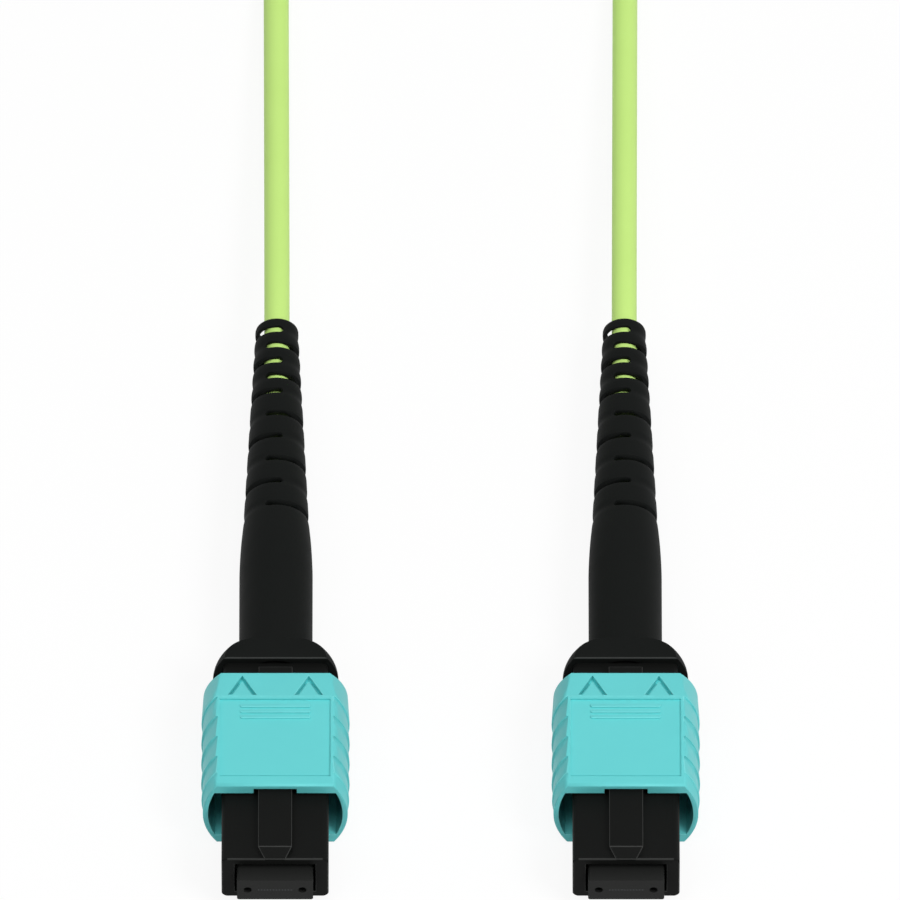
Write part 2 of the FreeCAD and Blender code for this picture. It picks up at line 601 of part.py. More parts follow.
def make_coupling_sleeve(mark, x):
    """Coupling sleeve: the sliding grip with bowed ribbed sides, a sunk panel and a sloping rear collar."""
    body = new_body(f"coupling_sleeve_{mark}", x, SLEEVE_FRONT)
    half_height = AXIS_HEIGHT
    shell = section(body, f"sleeve_shell_{mark}")
    add_bowed(shell, SLEEVE_WIDTH, SLEEVE_FLAT, SLEEVE_HEIGHT)
    collar_start = f"(panel_setback + {PANEL_LENGTH})"
    pad(body, shell, collar_start)
    soften(body, "Fillet", edges_where(body, on_front), "sleeve_edge")
    wide = section(body, f"collar_front_{mark}", collar_start)
    add_bowed(wide, SLEEVE_WIDTH, SLEEVE_FLAT, SLEEVE_HEIGHT)
    narrow = section(body, f"collar_rear_{mark}", "sleeve_length")
    add_bowed(narrow, f"({SLEEVE_WIDTH} - 2 * collar_taper)", f"({SLEEVE_FLAT} - 2 * collar_narrowing)",
              f"({SLEEVE_HEIGHT} - 2 * collar_drop)")
    add_loft(body, f"sleeve_collar_{mark}", wide, narrow)

    panel = new_sketch(body, f"sleeve_panel_{mark}", "YZ_Plane")
    floor = f"{half_height} - panel_depth"
    corners = [
        ("panel_setback", half_height), ("panel_setback", floor),
        (f"{collar_start} - panel_depth", floor), (collar_start, half_height),
    ]
    add_outline(panel, corners)
    sunk = pocket(body, panel, f"{SLEEVE_FLAT} - 2 * panel_margin", symmetric=True)
    mirror(body, [sunk], "XY_Plane")

    mouth = section(body, f"sleeve_mouth_{mark}")
    add_bowed(mouth, MOUTH_WIDTH, MOUTH_FLAT, MOUTH_HEIGHT)
    pocket(body, mouth)
    key_slot = section(body, f"sleeve_key_slot_{mark}")
    slot_half = "(key_width / 2 + key_slot_gap)"
    add_rectangle(key_slot, f"-{slot_half}", slot_half, "0", f"{KEY_TOP} + key_slot_top_gap")
    pocket(body, key_slot)
    teeth, rim = add_ribs(body, mark)
    mirror(body, [teeth, rim], "YZ_Plane")

    lug = new_sketch(body, f"sleeve_lug_{mark}", "YZ_Plane", f"{CHANNEL_FLOOR} + slide_gap")
    lug_half = "(channel_height / 2 - slide_gap)"
    add_rectangle(lug, "lug_setback", "lug_setback + lug_length", f"-{lug_half}", lug_half)
    lug_reach = f"({MOUTH_WIDTH} + sleeve_side_wall) / 2 - {CHANNEL_FLOOR} - slide_gap"
    drive = pad(body, lug, lug_reach, reverse=False)
    mirror(body, [drive], "YZ_Plane")


def bow_radius(width, flat, height):
    """The radius of a side that bows out from the flat's edge to the full width."""
    bow = f"(({width} - {flat}) / 2)"
    return f"((({height}) / 2)^2 + {bow}^2) / (2 * {bow})"


def add_bowed(sketch, width, flat, height):
    """An outline with a flat top and bottom and sides that bow outwards."""
    right, top = f"{flat} / 2", f"{height} / 2"
    corners = [(f"-{right}", f"-{top}"), (right, f"-{top}"), (right, top), (f"-{right}", top)]
    radius = bow_radius(width, flat, height)
    add_outline(sketch, corners, {1: (radius, 1), 3: (radius, 1)})


def add_ribs(body, mark):
    """Cut grip ribs, whose ledges face the ferrule, and a lower front rim around the bowed side."""
    radius = bow_radius(SLEEVE_WIDTH, SLEEVE_FLAT, SLEEVE_HEIGHT)
    surface = f"{SLEEVE_WIDTH} / 2"
    foot = f"{surface} - rib_height"
    centre = f"({surface} - {radius})"
    ribs = new_sketch(body, f"sleeve_ribs_{mark}", "XY_Plane")
    pitch = f"{PANEL_LENGTH} / rib_count"
    for index in range(int(value("rib_count"))):
        ledge = f"(panel_setback + {PANEL_LENGTH} - {index} * {pitch})"
        tail = f"{ledge} - {pitch} + seat_gap"
        add_outline(ribs, [(surface, tail), (surface, ledge), (foot, ledge)])
    teeth = groove(body, ribs, (ribs, [sketch_axis(ribs, centre, "sleeve_length")]), "rib_sweep")
    band = new_sketch(body, f"sleeve_rim_{mark}", "XY_Plane")
    add_rectangle(band, foot, f"{surface} + rib_height", "-rim_length", "rim_length")
    rim = groove(body, band, (band, [sketch_axis(band, centre, "sleeve_length")]), "rib_sweep")
    return teeth, rim


def sketch_axis(sketch, x, length):
    """A construction line along the plug, at a distance from its axis."""
    line = sketch.addGeometry(Part.LineSegment(V(value(x), 0, 0), V(value(x), value(length), 0)), True)
    fix_point(sketch, line, 1, x, "0")
    fix_point(sketch, line, 2, x, length)
    return "Axis0"


def make_spring(label, x, station, diameter, wire, turns, length):
    """A compression spring along the plug's axis or beside it: a square wire in flat-sided turns."""
    sides = int(value("spring_sides"))
    steps = int(value(f"{turns} * spring_sides"))
    radius, half = value(f"({diameter} - {wire}) / 2"), value(f"{wire} / 2")
    rise = value(f"{length} - {wire} - 2 * seat_gap") / steps
    rims = []
    for step in range(steps + 1):
        angle = 2 * math.pi * step / sides
        outward = V(math.cos(angle), 0, math.sin(angle))
        middle = outward * radius + V(0, half + value("seat_gap") + rise * step, 0)
        across, along = outward * half, V(0, half, 0)
        front, rear = middle - along, middle + along
        corners = [front - across, front + across, rear + across, rear - across]
        rims.append(Part.makePolygon(corners + corners[:1]))
    spring = doc.addObject("Part::Feature", label)
    spring.Label = label
    spring.Shape = Part.makeLoft(rims, True, True)
    place_on_axis(spring, x, station)


def make_springs(mark, x):
    """The ferrule spring on the axis, and a coupling spring in each side channel."""
    ferrule_room = f"{POST_FRONT} - {SPRING_FRONT}"
    make_spring(f"ferrule_spring_{mark}", x, SPRING_FRONT, "ferrule_spring_diameter",
                "ferrule_spring_wire", "ferrule_spring_turns", ferrule_room)
    lug_rear = f"({LUG_FRONT} + lug_length)"
    room = f"{CHANNEL_REAR} - {lug_rear}"
    aside = f"(({CHANNEL_FLOOR} + {MOUTH_WIDTH} / 2) / 2)"
    for side, sign in (("left", "-"), ("right", "+")):
        make_spring(f"coupling_spring_{side}_{mark}", f"{x} {sign} {aside}", lug_rear,
                    "coupling_spring_diameter", "coupling_spring_wire", "coupling_spring_turns", room)


def make_back_post(mark, x):
    """Back post: snaps into the frame, backs the ferrule spring and carries the crimp tube."""
    body = new_body(f"back_post_{mark}", x, POST_FRONT)
    shank = section(body, f"post_shank_{mark}")
    add_rounded(shank, f"({CAVITY_WIDTH} - 2 * fit_gap)", f"({CAVITY_HEIGHT} - 2 * fit_gap)", "cavity_corner")
    pad(body, shank, "post_shank_length")
    flange = section(body, f"post_flange_{mark}", "post_shank_length")
    inset = "2 * post_flange_inset"
    add_rounded(flange, f"({FRAME_WIDTH} - {inset})", f"({FRAME_HEIGHT} - {inset})", "frame_corner")
    pad(body, flange, "post_flange_thickness")
    tube_start = "post_shank_length + post_flange_thickness"
    tube = section(body, f"post_tube_{mark}", tube_start)
    add_circle(tube, POST_TUBE)
    pad(body, tube, "ring_setback + ring_length - slide_gap")
    barb = new_sketch(body, f"post_barb_{mark}", "XY_Plane")
    root = f"({CAVITY_WIDTH} / 2 - 2 * fit_gap)"
    barb_end = "barb_setback + barb_length"
    tip = f"{root} + fit_gap + barb_reach"
    add_outline(barb, [(root, "barb_setback"), (tip, barb_end), (root, barb_end)])
    right_barb = pad(body, barb, "barb_height", symmetric=True)
    mirror(body, [right_barb], "YZ_Plane")
    passage = section(body, f"post_passage_{mark}")
    add_centred(passage, "ribbon_width + 2 * passage_side_gap", "bundle_height + 2 * passage_top_gap")
    pocket(body, passage, tube_start)
    bore = section(body, f"post_bore_{mark}", "post_shank_length")
    add_circle(bore, "post_tube_bore")
    pocket(body, bore)


def make_aramid_yarn(mark, x):
    """Aramid yarn of the cable, spread over the crimp tube under the crimp ring."""
    body = new_body(f"aramid_yarn_{mark}", x, f"{RING_FRONT} + fit_gap")
    layer = section(body, f"yarn_layer_{mark}")
    inside = f"({POST_TUBE} + 2 * seat_gap)"
    add_circle(layer, f"{inside} + 2 * yarn_thickness")
    add_circle(layer, inside)
    pad(body, layer, "ring_length - yarn_margin")


def make_crimp_ring(mark, x):
    """Crimp ring: a metal sleeve that is wide over the crimp tube and narrow over the cable jacket."""
    body = new_body(f"crimp_ring_{mark}", x, RING_FRONT)
    profile = new_sketch(body, f"ring_profile_{mark}", "XY_Plane")
    cone_end = "(ring_length + ring_shoulder)"
    neck_end = f"{cone_end} + ring_neck"
    corners = [
        (f"{RING_BORE} / 2", "0"), (f"{RING_OUTSIDE} / 2", "0"), (f"{RING_OUTSIDE} / 2", "ring_length"),
        (f"{NECK_OUTSIDE} / 2", cone_end), (f"{NECK_OUTSIDE} / 2", neck_end),
        (f"{NECK_BORE} / 2", neck_end), (f"{NECK_BORE} / 2", cone_end), (f"{RING_BORE} / 2", "ring_length"),
    ]
    add_outline(profile, corners)
    revolve(body, profile, (profile, ["V_Axis"]))


def make_strain_relief_boot(mark, x):
    """Strain relief boot: a domed flange, a barrel over the crimp ring and a slotted, bending tail."""
    body = new_body(f"strain_relief_boot_{mark}", x, BOOT_FRONT)
    profile = new_sketch(body, f"boot_profile_{mark}", "XY_Plane")
    flange, barrel = f"{BOOT_FLANGE} / 2", f"{BOOT_BARREL} / 2"
    tail, tip, bore = f"{BOOT_TAIL} / 2", f"{BOOT_TIP} / 2", f"{BOOT_BORE} / 2"
    dome = f"({flange} - {barrel})"
    dome_end = f"(boot_flange_band + {dome})"
    ring_room, neck_room = f"({RING_OUTSIDE} / 2 + fit_gap)", f"({NECK_OUTSIDE} / 2 + fit_gap)"
    ring_end = "(ring_setback + ring_length)"
    neck_start = f"({ring_end} + ring_shoulder + fit_gap)"
    neck_end = f"({NECK_REAR} - {BOOT_FRONT} + fit_gap)"
    corners = [
        (flange, "0"), (flange, "boot_flange_band"), (barrel, dome_end), (barrel, "boot_barrel_end"),
        (tail, "boot_barrel_end + boot_shoulder_length"),
        (tip, f"{BOOT_LENGTH} - boot_tip_bevel"), (f"{tip} - boot_tip_bevel", BOOT_LENGTH),
        (bore, BOOT_LENGTH), (bore, neck_end), (neck_room, neck_end), (neck_room, neck_start),
        (ring_room, f"{ring_end} + fit_gap"), (ring_room, "0"),
    ]
    add_outline(profile, corners, {1: (dome, 1)})
    revolve(body, profile, (profile, ["V_Axis"]))
    flats = section(body, f"boot_flats_{mark}")
    for near, far in ((barrel, flange), (f"-{flange}", f"-({barrel})")):
        add_rectangle(flats, f"-{flange}", flange, near, far)
    pocket(body, flats, dome_end)
    slots = new_sketch(body, f"boot_slots_{mark}", "XY_Plane")
    for index in range(int(value("slot_fine_count + slot_coarse_count"))):
        add_slot(slots, index)
    pocket(body, slots, f"2 * {BOOT_BARREL}", symmetric=True)


def add_slot(sketch, index):
    """One of the boot's slots, counted from its mouth and cut from the left and the right by turns."""
    fine_count = int(value("slot_fine_count"))
    fine = min(index, fine_count)
    coarse = index - fine
    middle = f"({BOOT_LENGTH} - slot_setback - {fine} * slot_fine_pitch - {coarse} * slot_coarse_pitch)"
    width = "slot_fine_width" if index < fine_count else "slot_coarse_width"
    front, rear = f"{middle} - {width} / 2", f"{middle} + {width} / 2"
    reach, side = ("slot_left_reach", "-") if index % 2 == 0 else ("slot_right_reach", "")
    outside, inside = f"{side}{BOOT_BARREL}", (reach if side else f"-{reach}")
    first, last = (front, rear) if side else (rear, front)
    corners = [(outside, first), (inside, first), (inside, last), (outside, last)]
    add_outline(sketch, corners)


def lead_route(x):
    """Points of a lead: from the crimp ring through the boot, to the floor and the coil's outer turn."""
    mouth = value("plug_length / 2")
    turn = math.copysign(value(OUTER_TURN), x)
    axis, floor = value(AXIS_HEIGHT), value("cable_diameter / 2")
    return [
        V(x, value(f"{JACKET_FRONT} - plug_length / 2"), axis),
        V(x, mouth + value("lead_straight"), axis),
        V(x, mouth + value("lead_landing"), floor),
        V(turn, mouth + value("coil_distance - coil_overlap"), floor),
    ]


def rounded_path(label, points):
    """Straight runs joined by tangent arcs as large as the runs allow, as one wire."""
    edges = []
    start = points[0]
    for before, corner, after in zip(points, points[1:], points[2:]):
        inward, outward = (before - corner), (after - corner)
        half_turn = (math.pi - inward.getAngle(outward)) / 2
        reach = 0.45 * min(inward.Length, outward.Length)
        radius = reach / math.tan(half_turn)
        diameters = radius / value("cable_diameter")
        print(f"{label}: bend of radius {radius:.0f} mm, {diameters:.0f} cable diameters")
        inward.normalize()
        outward.normalize()
        first, last = corner + inward * reach, corner + outward * reach
        centre = corner + (inward + outward).normalize() * (radius / math.cos(half_turn))
        middle = centre + (corner - centre).normalize() * radius
        edges.append(Part.LineSegment(start, first).toShape())
        edges.append(Part.Arc(first, middle, last).toShape())
        start = last
    edges.append(Part.LineSegment(start, points[-1]).toShape())
    return Part.Wire(edges)


def make_cable_lead(mark, x):
    """One lead of the cable, from inside its plug to the coil."""
    label = f"cable_lead_{mark}"
    points = lead_route(value(x))
    path = rounded_path(label, points)
    radius = value("cable_diameter / 2")
    rim = Part.Wire(Part.Circle(points[0], points[1] - points[0], radius).toShape())
    tube = path.makePipeShell([rim], True, False)
    expected = math.pi * radius ** 2 * path.Length
    if abs(tube.Volume - expected) > 0.01 * expected:
        raise RuntimeError(f"{label}: volume {tube.Volume:.1f}, expected {expected:.1f}")
    lead = doc.addObject("Part::Feature", label)
    lead.Label = label
    lead.Shape = tube
    lead.Placement = FreeCAD.Placement()
    nodes.append(lead)


def new_coil_body(label):
    """A body whose own origin is on the floor in the middle of the coil."""
    body = doc.addObject("PartDesign::Body", label)
    body.Label = label
    bind(body, "Placement.Base.y", "plug_length / 2 + coil_distance")
    nodes.append(body)
    return body


def make_cable_coil():
    """The outer shape of the coiled cable, narrowed where the strap holds it."""
    body = new_coil_body("cable_coil")
    bundle = new_sketch(body, "coil_bundle", "YZ_Plane")
    add_bevelled(bundle, COIL_SECTION, "coil_bevel", *COIL_MIDDLE)
    revolve(body, bundle, (bundle, ["V_Axis"]))
    waist = new_sketch(body, "coil_waist", "YZ_Plane")
    add_bevelled(waist, f"({COIL_SECTION} + 2 * tie_thickness)", "coil_bevel", *COIL_MIDDLE)
    add_bevelled(waist, f"({COIL_SECTION} - 2 * tie_thickness - 2 * seat_gap)", "coil_bevel", *COIL_MIDDLE)
    groove(body, waist, (waist, ["V_Axis"]), "tie_angle + tie_margin")


def make_coil_tie():
    """Strap around the coil, level with the bundle on both sides of it."""
    body = new_coil_body("coil_tie")
    strap = new_sketch(body, "tie_strap", "YZ_Plane")
    add_bevelled(strap, COIL_SECTION, "coil_bevel", *COIL_MIDDLE)
    add_bevelled(strap, f"({COIL_SECTION} - 2 * tie_thickness)", "coil_bevel", *COIL_MIDDLE)
    revolve(body, strap, (strap, ["V_Axis"]), "tie_angle")


def make_plug(mark, x):
    """All the pieces of one plug, and the lead that comes out of it."""
    for make in (make_ferrule, make_fibre_ribbon, make_ferrule_sock, make_pin_keeper, make_springs,
                 make_plug_frame, make_coupling_sleeve, make_back_post, make_aramid_yarn, make_crimp_ring,
                 make_strain_relief_boot, make_cable_lead):
        make(mark, x)


def require_sound():
    """Stop before anything is written where an object failed or a piece isn't a valid solid."""
    for item in doc.Objects:
        if "Invalid" in item.State or "Error" in item.State:
            raise RuntimeError(f"{item.Label}: {item.State}")
    for node in nodes:
        if node.Shape.isNull() or not node.Shape.isValid() or len(node.Shape.Solids) != 1:
            raise RuntimeError(f"{node.Label}: not one valid solid")


fill_sheet()
make_plug("a", "-plug_spacing / 2")
make_plug("b", "plug_spacing / 2")
make_cable_coil()
make_coil_tie()
doc.recompute()
require_sound()
os.makedirs("parts", exist_ok=True)
for node in nodes:
    node.Shape.exportStep(f"parts/{node.Label}.step")
print(f"{len(nodes)} pieces written")
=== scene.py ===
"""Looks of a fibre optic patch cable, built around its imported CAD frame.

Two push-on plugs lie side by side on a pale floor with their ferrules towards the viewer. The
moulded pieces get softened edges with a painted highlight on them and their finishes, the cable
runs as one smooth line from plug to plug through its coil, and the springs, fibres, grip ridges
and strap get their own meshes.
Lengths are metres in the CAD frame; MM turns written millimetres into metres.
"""

import logging
import math
from collections.abc import Iterable
from dataclasses import dataclass
from enum import Enum
from typing import Any, ClassVar

import bmesh
import bpy
from mathutils import Matrix, Vector


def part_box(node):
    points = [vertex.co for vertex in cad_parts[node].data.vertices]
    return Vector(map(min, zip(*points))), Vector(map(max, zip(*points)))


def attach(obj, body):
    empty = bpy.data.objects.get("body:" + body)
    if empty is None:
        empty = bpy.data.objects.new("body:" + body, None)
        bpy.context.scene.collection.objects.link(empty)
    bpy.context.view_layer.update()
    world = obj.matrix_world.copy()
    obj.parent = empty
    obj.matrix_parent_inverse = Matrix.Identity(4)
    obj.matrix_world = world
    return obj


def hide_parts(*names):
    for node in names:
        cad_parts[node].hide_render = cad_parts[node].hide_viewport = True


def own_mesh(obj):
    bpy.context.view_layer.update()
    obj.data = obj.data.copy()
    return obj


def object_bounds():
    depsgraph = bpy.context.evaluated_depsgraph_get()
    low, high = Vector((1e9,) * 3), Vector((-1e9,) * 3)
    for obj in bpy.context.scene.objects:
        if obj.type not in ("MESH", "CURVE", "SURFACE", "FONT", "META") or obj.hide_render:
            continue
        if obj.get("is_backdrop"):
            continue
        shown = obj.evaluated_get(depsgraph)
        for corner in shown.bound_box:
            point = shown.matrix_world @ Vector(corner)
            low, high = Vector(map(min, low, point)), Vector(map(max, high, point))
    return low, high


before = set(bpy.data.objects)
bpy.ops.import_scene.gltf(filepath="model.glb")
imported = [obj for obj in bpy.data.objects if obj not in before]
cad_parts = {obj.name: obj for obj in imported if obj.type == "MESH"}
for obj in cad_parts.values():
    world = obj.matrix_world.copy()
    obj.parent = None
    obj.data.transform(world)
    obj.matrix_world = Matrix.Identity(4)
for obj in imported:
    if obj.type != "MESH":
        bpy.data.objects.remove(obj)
CAD_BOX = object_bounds()

LOG = logging.getLogger("patch_cable")
MM = 0.001
ROOT_BODY = "cable_and_plugs"
PLUG_MARKS = ("a", "b")

# Points nearer to each other than this are one point.
MERGE_DISTANCE = 0.001 * MM
# Neighbouring faces that turn by less than this many degrees are one flat face.
FLAT_ANGLE = 0.5
# Edges that turn by more than this many degrees stay sharp in the shading.
SMOOTH_ANGLE = 35.0
# Outer edges that turn by more than this many degrees are rounded on moulded pieces.
SHARP_ANGLE = 40.0
# A strip between sharp edges that is narrower than this is a chamfer.
CHAMFER_MM = 0.2
# Faces across a rounded edge.
EDGE_SEGMENTS = 2
# Rounding of a bar's end, as a share of its width: just under half, so that its sides stay apart.
ROUND_END = 0.49
# The face attribute that is 1 on rounded edges and chamfers, where a finish paints a highlight.
PAINTED_HIGHLIGHT_LAYER = "painted_highlight_edge"


class Slot(Enum):
    """The material slots, one for each kind of piece."""

    FRAME = "frame"
    SLEEVE = "sleeve"
    BOOT = "boot"
    SPRING = "spring"
    RIBBON = "ribbon"
    CABLE = "cable"
    STRAP = "strap"


class Side(Enum):
    """The two sides of a plug, as the sign of X from its axis."""

    LEFT = -1
    RIGHT = 1


def linear(colour: str) -> tuple[float, float, float, float]:
    """Turn an sRGB hex colour into linear light.

    Args:
        colour: Six hex digits after a hash mark.

    Returns:
        Red, green, blue and an alpha of 1.
    """
    channels = [int(colour[start:start + 2], 16) / 255 for start in (1, 3, 5)]
    lit = [c / 12.92 if c <= 0.04045 else ((c + 0.055) / 1.055) ** 2.4 for c in channels]
    return (*lit, 1.0)


def empty_tree(owner: bpy.types.Material | bpy.types.World) -> bpy.types.NodeTree:
    """Give a material or a world an empty node tree.

    Args:
        owner: What the nodes are for.

    Returns:
        The tree to add nodes to.
    """
    owner.use_nodes = True
    owner.node_tree.nodes.clear()
    return owner.node_tree


def add_node(tree: bpy.types.NodeTree, kind: str, settings: dict[str, Any] | None = None,
             **sockets: Any) -> bpy.types.Node:
    """Add one node with its settings, socket values and links.

    Args:
        tree: The node tree to add to.
        kind: Blender's name of the node's type.
        settings: Properties of the node itself.
        **sockets: Input names, with underscores for spaces, and a value or an output for each.

    Returns:
        The new node.
    """
    node = tree.nodes.new(kind)
    for name, value in (settings or {}).items():
        setattr(node, name, value)
    for name, value in sockets.items():
        socket = node.inputs[name.replace("_", " ")]
        if isinstance(value, bpy.types.NodeSocket):
            tree.links.new(value, socket)
        else:
            socket.default_value = value
    return node


@dataclass(frozen=True)
class Finish:
    """A surface of one material: its colour, gloss and fine relief."""

    name: str
    colour: str
    tint: str
    roughness: float
    ior: float = 1.5
    specular: float = 0.5
    metallic: float = 0.0
    # A paler colour painted on rounded edges and chamfers as a highlight, or empty for none.
    edge: str = ""
    mottle_mm: float = 2.0
    mottle_detail: float = 3.0
    grain_mm: float = 0.1
    grain_detail: float = 2.0
    grain_height_mm: float = 0.002
    roughness_spread: float = 0.06

    def material(self) -> bpy.types.Material:
        """Make this finish as a node material, the first time that it is asked for.

        Returns:
            The material.
        """
        found = bpy.data.materials.get(self.name)
        if found:
            return found
        made = bpy.data.materials.new(self.name)
        tree = empty_tree(made)
        coordinates = add_node(tree, "ShaderNodeTexCoord").outputs["Object"]
        shader = self.shader(tree, coordinates)
        add_node(tree, "ShaderNodeOutputMaterial", Surface=shader.outputs["BSDF"])
        return made

    def shader(self, tree: bpy.types.NodeTree, coordinates: bpy.types.NodeSocket) -> bpy.types.Node:
        """Add the surface shader: mottled colour, painted edge highlight, uneven gloss, fine grain.

        Args:
            tree: The material's node tree.
            coordinates: Where on the piece a point is, in metres.

        Returns:
            The surface shader node.
        """
        mottle = add_node(tree, "ShaderNodeTexNoise", Vector=coordinates,
                          Scale=1 / (self.mottle_mm * MM), Detail=self.mottle_detail).outputs["Fac"]
        colour = add_node(tree, "ShaderNodeMix", {"data_type": "RGBA"}, Factor=mottle,
                          A=linear(self.colour), B=linear(self.tint)).outputs["Result"]
        # Painted highlight: the edge colour goes where the attribute is 1, on rounded edges and
        # chamfers.
        if self.edge:
            rounded = add_node(tree, "ShaderNodeAttribute", {"attribute_name": PAINTED_HIGHLIGHT_LAYER})
            colour = add_node(tree, "ShaderNodeMix", {"data_type": "RGBA"},
                              Factor=rounded.outputs["Fac"], A=colour,
                              B=linear(self.edge)).outputs["Result"]
        gloss = add_node(tree, "ShaderNodeMapRange", Value=mottle,
                         To_Min=self.roughness - self.roughness_spread,
                         To_Max=self.roughness + self.roughness_spread)
        bump = add_node(tree, "ShaderNodeBump", Height=self.relief(tree, coordinates),
                        Distance=self.grain_height_mm * MM, Strength=1.0)
        return add_node(tree, "ShaderNodeBsdfPrincipled", Base_Color=colour, Metallic=self.metallic,
                        Roughness=gloss.outputs["Result"], IOR=self.ior,
                        Specular_IOR_Level=self.specular, Normal=bump.outputs["Normal"])

    def relief(self, tree: bpy.types.NodeTree,
               coordinates: bpy.types.NodeSocket) -> bpy.types.NodeSocket:
        """Return the height of the surface's grain, an even fine noise."""
        grain = add_node(tree, "ShaderNodeTexNoise", Vector=coordinates,
                         Scale=1 / (self.grain_mm * MM), Detail=self.grain_detail)
        return grain.outputs["Fac"]


@dataclass(frozen=True)
class StreakedFinish(Finish):
    """A finish with relief drawn out along the plugs, as on extruded and drawn stock."""

    streak: float = 12.0

    def relief(self, tree: bpy.types.NodeTree,
               coordinates: bpy.types.NodeSocket) -> bpy.types.NodeSocket:
        """Return the height of fine streaks along Y."""
        drawn = add_node(tree, "ShaderNodeMapping", Vector=coordinates,
                         Scale=(1.0, 1 / self.streak, 1.0))
        return super().relief(tree, drawn.outputs["Vector"])


# Moulded polyester (PBT) from a lightly spark-eroded mould: satin, with a soft wide highlight and
# no deep gloss. Its rounded edges get a painted highlight, a paler colour in place of caught light.
AQUA_POLYESTER = Finish(
    "aqua_moulded_polyester", "#66D2D4", tint="#6AD6D7", edge="#7BDEDF", roughness=0.46, ior=1.55,
    specular=0.25, mottle_mm=3.0, grain_mm=0.12, grain_height_mm=0.0016)
# The same polyester coloured black: deep, with weak reflections and a painted highlight along its
# rounded edges.
BLACK_POLYESTER = Finish(
    "black_moulded_polyester", "#0E0F0E", tint="#111211", edge="#383938", roughness=0.5, ior=1.55,
    specular=0.05, mottle_mm=2.0, grain_mm=0.1, grain_height_mm=0.0015)
# Thermoplastic rubber of the boot: dull, very slightly mottled where the mould was blasted.
# Its rounded edges get a painted highlight.
BOOT_RUBBER = Finish(
    "black_thermoplastic_rubber", "#0F1110", tint="#131514", edge="#3C3E3D", roughness=0.62,
    ior=1.5, specular=0.06, mottle_mm=1.2, grain_mm=0.14, grain_height_mm=0.003)
# Silica-filled polyphenylene sulphide, ground flat at the end face: dark grey, finely speckled.
FERRULE_PPS = Finish(
    "ground_filled_ferrule_plastic", "#161716", tint="#1B1C1B", roughness=0.55, ior=1.6,
    specular=0.12, mottle_mm=0.12, grain_mm=0.06, grain_height_mm=0.001)
# Extruded low-smoke jacket: smooth lime green with a satin skin, drawn along its length.
LIME_JACKET = StreakedFinish(
    "lime_extruded_jacket", "#D1F78B", tint="#CCF386", roughness=0.45, ior=1.5, specular=0.12,
    mottle_mm=4.0, grain_mm=0.35, grain_height_mm=0.002)
# Drawn spring steel: bright grey with fine drawing marks.
SPRING_STEEL = Finish(
    "drawn_spring_steel", "#B9B8B4", tint="#A9A8A5", roughness=0.28, metallic=1.0, mottle_mm=0.4,
    grain_mm=0.08, grain_height_mm=0.0008)
# Drawn aluminium of the crimp ring, dulled by the crimping dies.
CRIMP_ALUMINIUM = StreakedFinish(
    "drawn_aluminium", "#CDCED0", tint="#BFC0C2", roughness=0.36, metallic=1.0, mottle_mm=0.6,
    grain_mm=0.12, grain_height_mm=0.001)
# Aramid yarn: straw yellow filaments that lie along the cable.
ARAMID = StreakedFinish(
    "aramid_filaments", "#DDB85A", tint="#C79F42", roughness=0.7, ior=1.6, specular=0.3,
    mottle_mm=0.3, grain_mm=0.05, grain_height_mm=0.02, streak=40.0)
# Acrylate coating of the fibre ribbon: milky and smooth.
RIBBON_ACRYLATE = StreakedFinish(
    "ribbon_acrylate", "#DDE3D4", tint="#CBD7E4", roughness=0.35, ior=1.48, mottle_mm=0.25,
    grain_mm=0.25, grain_height_mm=0.004, streak=60.0)
# Polished ends of silica fibres, which lead the light away: dark with a small glint.
SILICA = Finish(
    "polished_silica", "#2B3032", tint="#343A3C", roughness=0.12, ior=1.46, mottle_mm=0.1,
    grain_mm=0.1, grain_height_mm=0.0001)
# Brushed nylon loops of the strap: no gloss, with a fuzz that is coarser than life so as to show.
LOOP_NYLON = Finish(
    "brushed_nylon_loops", "#151515", tint="#242424", roughness=0.9, ior=1.53, specular=0.1,
    mottle_mm=0.3, grain_mm=0.22, grain_height_mm=0.08)


def add_object(name: str, data: bpy.types.ID) -> bpy.types.Object:
    """Make an object at the origin and link it to the scene.

    Args:
        name: The object's name.
        data: Its mesh, curve, lamp or camera.

    Returns:
        The new object.
    """
    made = bpy.data.objects.new(name, data)
    bpy.context.scene.collection.objects.link(made)
    return made


def settle(shape: bmesh.types.BMesh, mesh: bpy.types.Mesh,
           smooth_angle: float = SMOOTH_ANGLE) -> None:
    """Write a finished bmesh into a mesh and shade it.

    Args:
        shape: The finished shape, which is freed.
        mesh: The mesh that takes it.
        smooth_angle: Edges that turn by more than this many degrees stay sharp.
    """
    shape.to_mesh(mesh)
    shape.free()
    mesh.shade_smooth()
    mesh.set_sharp_from_angle(angle=math.radians(smooth_angle))


def new_piece(name: str, shape: bmesh.types.BMesh,
              smooth_angle: float = SMOOTH_ANGLE) -> bpy.types.Object:
    """Turn a finished bmesh into an object at the origin.

    Args:
        name: The piece's name.
        shape: Its mesh, which is freed.
        smooth_angle: Edges that turn by more than this many degrees stay sharp.

    Returns:
        The new object.
    """
    mesh = bpy.data.meshes.new(name)
    settle(shape, mesh, smooth_angle)
    return add_object(name, mesh)


def dress(piece: bpy.types.Object, finish: Finish, body: str, slot: Slot) -> bpy.types.Object:
    """Give a new piece its finish and its body.

    Args:
        piece: A mesh or curve object in its place.
        finish: The finish all over it.
        body: The CAD body that it moves with.
        slot: Not used.

    Returns:
        The same piece.
    """
    piece.data.materials.clear()
    piece.data.materials.append(finish.material())
    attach(piece, body)
    LOG.info("%s rides on %s", piece.name, body)
    return piece


def flatten_shading(piece: bpy.types.Object) -> None:
    """Shade a moulded piece's large faces flat, so that only its rounded edges turn the light."""
    weighted = piece.modifiers.new("face_weighted_normals", "WEIGHTED_NORMAL")
    weighted.keep_sharp = True


